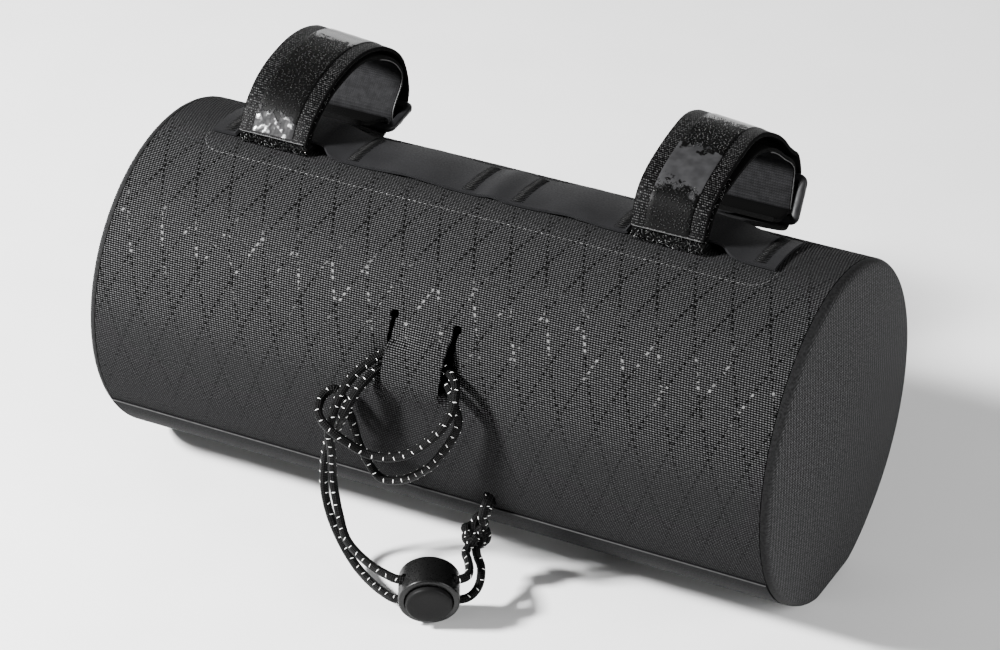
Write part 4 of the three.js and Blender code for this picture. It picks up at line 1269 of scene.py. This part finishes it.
def strap_profile(strap):
    """A strap's middle line in the YZ plane: ring, bag, fold, over the top, ring, free end."""
    size = sizes()
    hug = size.radius / MM + STRAP_GAP + size.strap_cloth / MM / 2
    turn = RING_BAR / 2 + BAR_CLEARANCE + size.strap_cloth / MM / 2

    def round_bar(bar, radius, start, end, count):
        return [(bar[0] + radius * math.cos(math.radians(t)),
                 bar[1] + radius * math.sin(math.radians(t))) for t in steps(start, end, count)]

    def on_bag(angle, radius):
        point = on_section(0, angle, radius * MM)
        return point.y / MM, point.z / MM

    low_bar, lean = strap["low_bar"], strap["lean"]
    tilt = math.radians(strap["ring_tilt"])
    high_bar = (low_bar[0] + RING_SPAN * math.cos(tilt), low_bar[1] + RING_SPAN * math.sin(tilt))
    under = [*strap["tab"],
             *round_bar(low_bar, turn, lean, lean - 180, 6),
             *[on_bag(a, hug) for a in steps(strap["hug_start"], STRAP_FRONT, 6)],
             *round_bar(STRAP_FOLD, STRAP_FOLD_RADIUS, 250, 130, 3)]
    back = strap["turn"]
    over = [*strap["inner"],
            *round_bar(back["centre"], back["radius"], back["start"], back["end"], 6)]
    parts = [under, over, list(strap["outer"])]
    line = curve_through([(0, y * MM, z * MM) for part in parts for y, z in part], 0.8 * MM)
    marks = [min(range(len(line)), key=lambda i: (line[i] - Vector((0, y * MM, z * MM))).length)
             for y, z in (STRAP_FOLD, strap["outer"][0])]
    middle = Vector((0, (low_bar[0] + high_bar[0]) / 2 * MM, (low_bar[1] + high_bar[1]) / 2 * MM))
    return line, marks, middle


def strap_rows(strap, line):
    """Rows along a strap: (distance from its free end, a function that places (across, out))."""
    rows = []
    left = line_length(line)
    for i, point in enumerate(line):
        ahead = (line[min(i + 1, len(line) - 1)] - line[max(i - 1, 0)]).normalized()
        out = Vector((0, ahead.z, -ahead.y))
        twist = strap["twist"] * smooth(TWIST_START, TWIST_END, point.z / MM)
        slope = twist * MM / (sizes().strap_width / 2)
        aside = STRAP_SKEW * (1 - 2 * smooth(0, 50, point.y / MM))
        middle = point + Vector(((strap["x"] + aside) * MM, 0, 0))
        if i:
            left -= (point - line[i - 1]).length

        def place(across, lift, middle=middle, out=out, slope=slope):
            return middle + Vector((across, 0, -slope * across)) + out * lift

        rows.append((left, place))
    return rows


def band(name, strap, line, width, thickness, offset, finishes, pick):
    """A woven band along a line in the YZ plane; pick(row, outer) gives each face's finish."""
    half, thin = width / 2, thickness / 2
    round_off = min(thin, 0.5 * MM)
    across = steps(-half + round_off, half - round_off, 10)
    right = [(a, thin) for a in across]
    left = [(a, -thin) for a in reversed(across)]
    edge = [(half - round_off + round_off * math.cos(t),
             (thin - round_off) * s + round_off * math.sin(t))
            for t, s in ((math.pi / 4, 1), (0, 1), (0, -1), (-math.pi / 4, -1))]
    section = [*right, *edge, *left, *[(-a, -b) for a, b in edge]]
    vertices, pattern = [], []
    for end, place in strap_rows(strap, line):
        for a, b in section:
            vertices.append(place(a, offset + b))
            pattern.append((a + (b < 0) * width, end))
    wide = len(section)
    last = len(vertices) - wide
    faces = grid_faces(len(line), wide, flip=True, around=True)
    faces += [tuple(range(wide)), tuple(last + k for k in reversed(range(wide)))]
    # The section starts with the faces of the outer side.
    picks = [pick(i, k < len(across) - 1) for i in range(1, len(line)) for k in range(wide)]
    picks += [pick(0, False), pick(len(line), False)]
    return new_piece(name, vertices, faces, finishes, pattern, picks)


def patch_carrier(name, strap, line, width, offset, cover):
    """A bare surface along a line for loops to stand on; cover(distance from its end, across)."""
    columns = steps(-width / 2, width / 2, 12)
    vertices, shares = [], []
    for end, place in strap_rows(strap, line):
        for a in columns:
            vertices.append(place(a, offset))
            shares.append(cover(end / MM, a / MM))
    faces = grid_faces(len(line), len(columns), flip=True)
    if offset <= 0:
        faces = [face[::-1] for face in faces]
    mesh = bpy.data.meshes.new(name)
    mesh.from_pydata(vertices, [], faces)
    layer = mesh.attributes.new("cover", "FLOAT", "POINT")
    layer.data.foreach_set("value", shares)
    return mesh


class BAG_OT_straps(bpy.types.Operator):
    """Makes the cinch straps with their loop pile, hook tapes, sealed ends and rings"""
    bl_idname = "bag.straps"
    bl_label = "Cinch straps"

    def execute(self, context):
        size = sizes()
        for side, strap in STRAPS.items():
            line, (fold, turn), ring_middle = strap_profile(strap)

            def pick(row, outer, turn=turn):
                return (0 if row > turn else 1) if outer else 2

            strap_band = band(f"strap_{side}_band", strap, line, size.strap_width, size.strap_cloth,
                              0.0, ["webbing", "lining", "pile"], pick)
            settle(strap_band, "webbing", f"strap_{side}")
            ground = patch_carrier(
                f"strap_{side}_pile", strap, line[fold - 6:fold + 34], size.strap_width - 1 * MM,
                -size.strap_cloth / 2, lambda end, across: 1.0)
            settle(loops(ground, 0.75, 0.13, 0.8, 11, "loops"), "webbing")
            outer = line[turn + 10:]
            lift = size.strap_cloth / 2 + TAPE_GAP * MM
            tape = band(f"hook_tape_{side}_ground", strap, outer[:-1], size.tape_width,
                        TAPE_GROUND * MM, lift, [f"tape_{side}"], lambda row, outer: 0)
            settle(tape, "hook_tape", f"hook_tape_{side}")

            def cover(end, across, wear=TAPE_WEAR_AND_SHEEN[side]):
                place = end + 3 * noise.noise(Vector((across / 4, end / 4, 3)))
                return 0.0 if any(low < place < high for low, high in wear.values()) else 1.0

            ground = patch_carrier(
                f"hook_tape_{side}_hooks", strap, outer[:-2], size.tape_width - 0.8 * MM,
                lift + 0.2 * MM, cover)
            settle(loops(ground, 0.3, 0.1, 0.5, 23, "hook"), "hook_tape")
            half = size.strap_width / 2
            rows = [row[1] for row in strap_rows(strap, line)]
            # The sealed end is a thin bead in the lighter edge colour, a painted highlight.
            bead = [rows[-1](a, size.strap_cloth / 2) for a in steps(-half + MM, half - MM, 12)]
            settle(tube(f"strap_{side}_sealed_end", bead, 0.12 * MM, 8, "edge"), "webbing")
            # A line in the lighter woven-edge colour, a painted highlight, runs only along the far
            # part of the inner layer's edge, which catches the light.
            far = fold + round(0.5 * (turn - fold))
            rim = [place(half, size.strap_cloth / 2) for place in rows[far:turn - 20]]
            settle(tube(f"strap_{side}_inner_edge", rim, 0.16 * MM, 6, "rim"), "webbing")
            self.ring(side, strap, ring_middle)
        return {"FINISHED"}

    def ring(self, side, strap, middle):
        """A rounded rectangular ring, as a bar swept round its loop."""
        size = sizes()
        half_x = size.strap_width / 2 + (RING_SIDE_GAP + RING_BAR / 2) * MM
        half_y = RING_SPAN * MM / 2
        corner = 1.8 * MM
        loop = []
        for sx, sy, start in ((1, 1, 0), (-1, 1, 90), (-1, -1, 180), (1, -1, 270)):
            for turn in steps(start, start + 90, 5):
                bend = math.radians(turn)
                loop.append((sx * (half_x - corner) + corner * math.cos(bend),
                             sy * (half_y - corner) + corner * math.sin(bend)))
        tilt = Matrix.Rotation(math.radians(strap["ring_tilt"]), 3, "X")
        points = [tilt @ Vector((a, b, 0)) for a, b in loop]
        normal = tilt @ Vector((0, 0, 1))
        sides, wide, thick = 16, RING_BAR / 2 * MM, RING_THICKNESS / 2 * MM
        vertices, count = [], len(points)
        for i, point in enumerate(points):
            ahead = (points[(i + 1) % count] - points[i - 1]).normalized()
            across = ahead.cross(normal)
            for k in range(sides):
                a, b = [math.copysign(abs(share) ** 0.6, share)
                        for share in (math.cos(TAU * k / sides), math.sin(TAU * k / sides))]
                vertices.append(Vector((strap["x"] * MM, 0, 0)) + middle + point
                                + wide * a * across + thick * b * normal)
        faces = grid_faces(count, sides, around=True, closed=True)
        settle(new_piece(f"strap_{side}_ring", vertices, faces, ["ring"]), "ring", f"ring_{side}")


def lock_matrix():
    """The cord lock's frame: X along its channels, Y up its face, Z out of its button."""
    across = Vector((math.cos(LOCK_TURN), math.sin(LOCK_TURN), 0))
    flat = math.cos(LOCK_TILT)
    out = Vector((math.sin(LOCK_TURN) * flat, -math.cos(LOCK_TURN) * flat, math.sin(LOCK_TILT)))
    turn = Matrix((across, out.cross(across), out)).transposed().to_4x4()
    return Matrix.Translation(LOCK_FACE) @ turn


def turned_piece(name, profile, finish, segments=96):
    """A turned solid on the lock's axis, from (radius, height) rows in millimetres."""
    place = lock_matrix()
    profile = [(radius * MM, height * MM) for radius, height in profile]
    rows = [row for row in profile if row[0] > 0]
    turns = [TAU * k / segments for k in range(segments)]
    vertices = [place @ Vector((radius * math.cos(turn), radius * math.sin(turn), height))
                for radius, height in rows for turn in turns]
    faces = grid_faces(len(rows), segments, around=True)
    for row, height, flip in ((0, profile[0][1], True), (len(rows) - 1, profile[-1][1], False)):
        vertices.append(place @ Vector((0, 0, height)))
        for k in range(segments):
            fan = (row * segments + k, row * segments + (k + 1) % segments, len(vertices) - 1)
            faces.append(fan[::-1] if flip else fan)
    return new_piece(name, vertices, faces, [finish])


def rounded(radius, height, edge, start, end):
    """Rows of a rounded corner in a turned profile, in millimetres."""
    return [(radius + edge * math.cos(math.radians(t)), height + edge * math.sin(math.radians(t)))
            for t in steps(start, end, 5)]


class BAG_OT_cord_lock(bpy.types.Operator):
    """Turns the cord lock's housing and button, and bores its channels"""
    bl_idname = "bag.cord_lock"
    bl_label = "Cord lock"

    def execute(self, context):
        barrel_rows = [(0, -12), *rounded(9.4, -11, 1, -90, 0), *rounded(9.7, -0.7, 0.7, 0, 90),
                       *rounded(8.6, -0.4, 0.4, 90, 180), (8.2, -10), (0, -10)]
        barrel = turned_piece("cord_lock_housing", barrel_rows, "lock")
        cutters = []
        for level in (-1, 1):
            cutter = bpy.data.meshes.new("channel")
            bore = bmesh.new()
            bmesh.ops.create_cone(bore, cap_ends=True, segments=32, radius1=2 * MM, radius2=2 * MM,
                                  depth=40 * MM)
            place = Matrix.Translation((0, level * CHANNEL_OFFSET * MM, -CHANNEL_DEPTH * MM))
            bore.transform(lock_matrix() @ place @ Matrix.Rotation(math.pi / 2, 4, "Y"))
            bore.to_mesh(cutter)
            bore.free()
            cutter_object = bpy.data.objects.new("channel", cutter)
            context.scene.collection.objects.link(cutter_object)
            cutters.append(cutter_object)
            cut = barrel.modifiers.new("channel", "BOOLEAN")
            cut.object = cutter_object
            cut.solver = "EXACT"
        baked(barrel)
        for cutter_object in cutters:
            bpy.data.objects.remove(cutter_object)
        barrel.data.set_sharp_from_angle(angle=math.radians(30))
        settle(barrel, "lock_plastic", "cord_lock_barrel")
        button_rows = [(0, -7), (2.4, -7), (2.4, -1.5), (7.9, -1.5), *rounded(6.9, 1, 1, 0, 82),
                       (5.5, 2.0), (3, 1.9), (0, 1.85)]
        button = turned_piece("cord_lock_push_button", button_rows, "button")
        settle(button, "lock_plastic", "cord_lock_button", body="lock_button")
        return {"FINISHED"}


def cord_line():
    """The cord's whole route, from the hole through the knot and lock, and back to the hole."""
    place = lock_matrix()

    def mouth(side, level):
        return place @ Vector((side * CHANNEL_MOUTH * MM, level * CHANNEL_OFFSET * MM,
                               -CHANNEL_DEPTH * MM))

    route = [*TAIL_A, (0.0229, -0.0575, 0.0200), *LINK_A, mouth(1, 1), mouth(-1, 1), *LOOP,
             mouth(-1, -1), mouth(1, -1), *LINK_B, (0.0226, -0.0573, 0.0196), *TAIL_B]
    return curve_through(route, 1.0 * MM)


def fleck_paths(line, radius):
    """Three lines on the cord's face that wind slowly round it, each one a third of a step on."""
    paths = []
    for third in range(3):
        path = []
        for i, (point, _, side, up) in enumerate(frames_along(line)):
            turn = 0.4 + third * TAU / 3 + 0.01 * i
            out = math.cos(turn) * side + math.sin(turn) * up
            path.append((point + 0.92 * radius * out, out))
        paths.append(path[third:])
    return paths


class BAG_OT_cord(bpy.types.Operator):
    """Lays the shock cord with its bright flecks and its knot"""
    bl_idname = "bag.cord"
    bl_label = "Shock cord"

    def execute(self, context):
        size = sizes()
        line = cord_line()
        radius = size.cord / 2
        cord = tube("shock_cord", line, radius, 14, "braid")
        settle(cord, "shock_cord", "cord_tail_a", "cord_tail_b", "cord_link_a", "cord_link_b",
               "cord_loop")
        knot = self.knot(radius)
        bright = self.flecks("shock_cord_flecks", line, radius, 7)
        line_length(line)
        return {"FINISHED"}

    def knot(self, radius):
        """An overhand knot in the doubled cord, as three trefoil turns drawn tight."""
        centre = Vector(KNOT_CENTRE)
        pieces = []
        for name, spread, roll in KNOT_TURNS:
            turn = Matrix.Rotation(roll, 3, "Z") @ Matrix.Rotation(0.5 + roll, 3, "X")
            ring = []
            for t in steps(0, TAU, 90):
                ring.append(centre + turn @ Vector((
                    spread * MM * (math.sin(t) + 2 * math.sin(2 * t)),
                    spread * MM * (math.cos(t) - 2 * math.cos(2 * t)),
                    -KNOT_RISE * MM * math.sin(3 * t))))
            strand = tube(f"cord_knot_{name}", ring, radius, 12, "braid")
            settle(strand, "shock_cord", *(["cord_knot"] if name == "a" else []))
            pieces += [strand, self.flecks(f"cord_knot_{name}_flecks", ring, radius, 9)]
        return pieces

    def flecks(self, name, line, radius, seed):
        """The bright flecks on a run of cord."""
        bright = beads(name, fleck_paths(line, radius), sizes().fleck_pitch, FLECK_SIZE, 14, 10,
                       seed, "fleck")
        return settle(bright, "shock_cord")


class BAG_OT_stage(bpy.types.Operator):
    """Sets up the floor, the lights and the camera"""
    bl_idname = "bag.stage"
    bl_label = "Stage"

    def execute(self, context):
        studio = context.scene.bag_studio
        scene = context.scene
        corners = [(x * FLOOR_REACH, y * FLOOR_REACH, -FLOOR_DROP)
                   for x, y in ((-1, -1), (1, -1), (1, 1), (-1, 1))]
        floor = new_piece("floor", corners, [(0, 1, 2, 3)], ["floor"])
        target = Vector((0, 0, sizes().radius))
        flat = math.cos(studio.elevation)
        back = Vector((math.sin(studio.azimuth) * flat, -math.cos(studio.azimuth) * flat,
                       math.sin(studio.elevation)))
        camera = bpy.data.objects.new("camera", bpy.data.cameras.new("camera"))
        camera.data.sensor_width = 36
        camera.data.lens = studio.lens
        camera.data.shift_x = studio.shift_x
        camera.data.shift_y = studio.shift_y
        camera.location = target + back * studio.distance
        camera.rotation_euler = (-back).to_track_quat("-Z", "Y").to_euler()
        scene.collection.objects.link(camera)
        scene.camera = camera
        for name, (place, span) in LIGHTS.items():
            light = bpy.data.lights.new(name, "AREA")
            light.shape = "RECTANGLE"
            light.size, light.size_y = span
            light.energy = getattr(studio, name)
            lamp = bpy.data.objects.new(name, light)
            lamp.location = place
            lamp.rotation_euler = (target - Vector(place)).to_track_quat("-Z", "Y").to_euler()
            scene.collection.objects.link(lamp)
        world = bpy.data.worlds.new("studio")
        world.use_nodes = True
        sky = world.node_tree.nodes["Background"]
        sky.inputs["Color"].default_value = (1, 1, 1, 1)
        sky.inputs["Strength"].default_value = studio.sky
        scene.world = world
        return {"FINISHED"}


OPERATORS = (
    BAG_OT_stage, BAG_OT_cord_lock, BAG_OT_cord, BAG_OT_main_panel, BAG_OT_base_panel,
    BAG_OT_end_panels, BAG_OT_zip, BAG_OT_slit_backing, BAG_OT_strap_panel, BAG_OT_weld_line,
    BAG_OT_straps,
)


class BAG_PT_panel(bpy.types.Panel):
    """Lists the bag's pieces, sizes and colours"""
    bl_idname = "BAG_PT_panel"
    bl_label = "Handlebar bag"
    bl_space_type = "VIEW_3D"
    bl_region_type = "UI"
    bl_category = "Handlebar bag"

    def draw(self, context):
        for operator in OPERATORS:
            self.layout.operator(operator.bl_idname)
        for group in ("bag_sizes", "bag_colours", "bag_studio"):
            owner = getattr(context.scene, group)
            for key in owner.__annotations__:
                self.layout.prop(owner, key)


CLASSES = (BagSizes, BagColours, StudioSettings, *OPERATORS, BAG_PT_panel)


def register():
    for item in CLASSES:
        bpy.utils.register_class(item)
    bpy.types.Scene.bag_sizes = PointerProperty(type=BagSizes)
    bpy.types.Scene.bag_colours = PointerProperty(type=BagColours)
    bpy.types.Scene.bag_studio = PointerProperty(type=StudioSettings)


def unregister():
    del bpy.types.Scene.bag_studio
    del bpy.types.Scene.bag_colours
    del bpy.types.Scene.bag_sizes
    for item in reversed(CLASSES):
        bpy.utils.unregister_class(item)


def main():
    register()
    for operator in OPERATORS:
        group, name = operator.bl_idname.split(".")
        getattr(getattr(bpy.ops, group), name)()


if __name__ == "__main__":
    main()
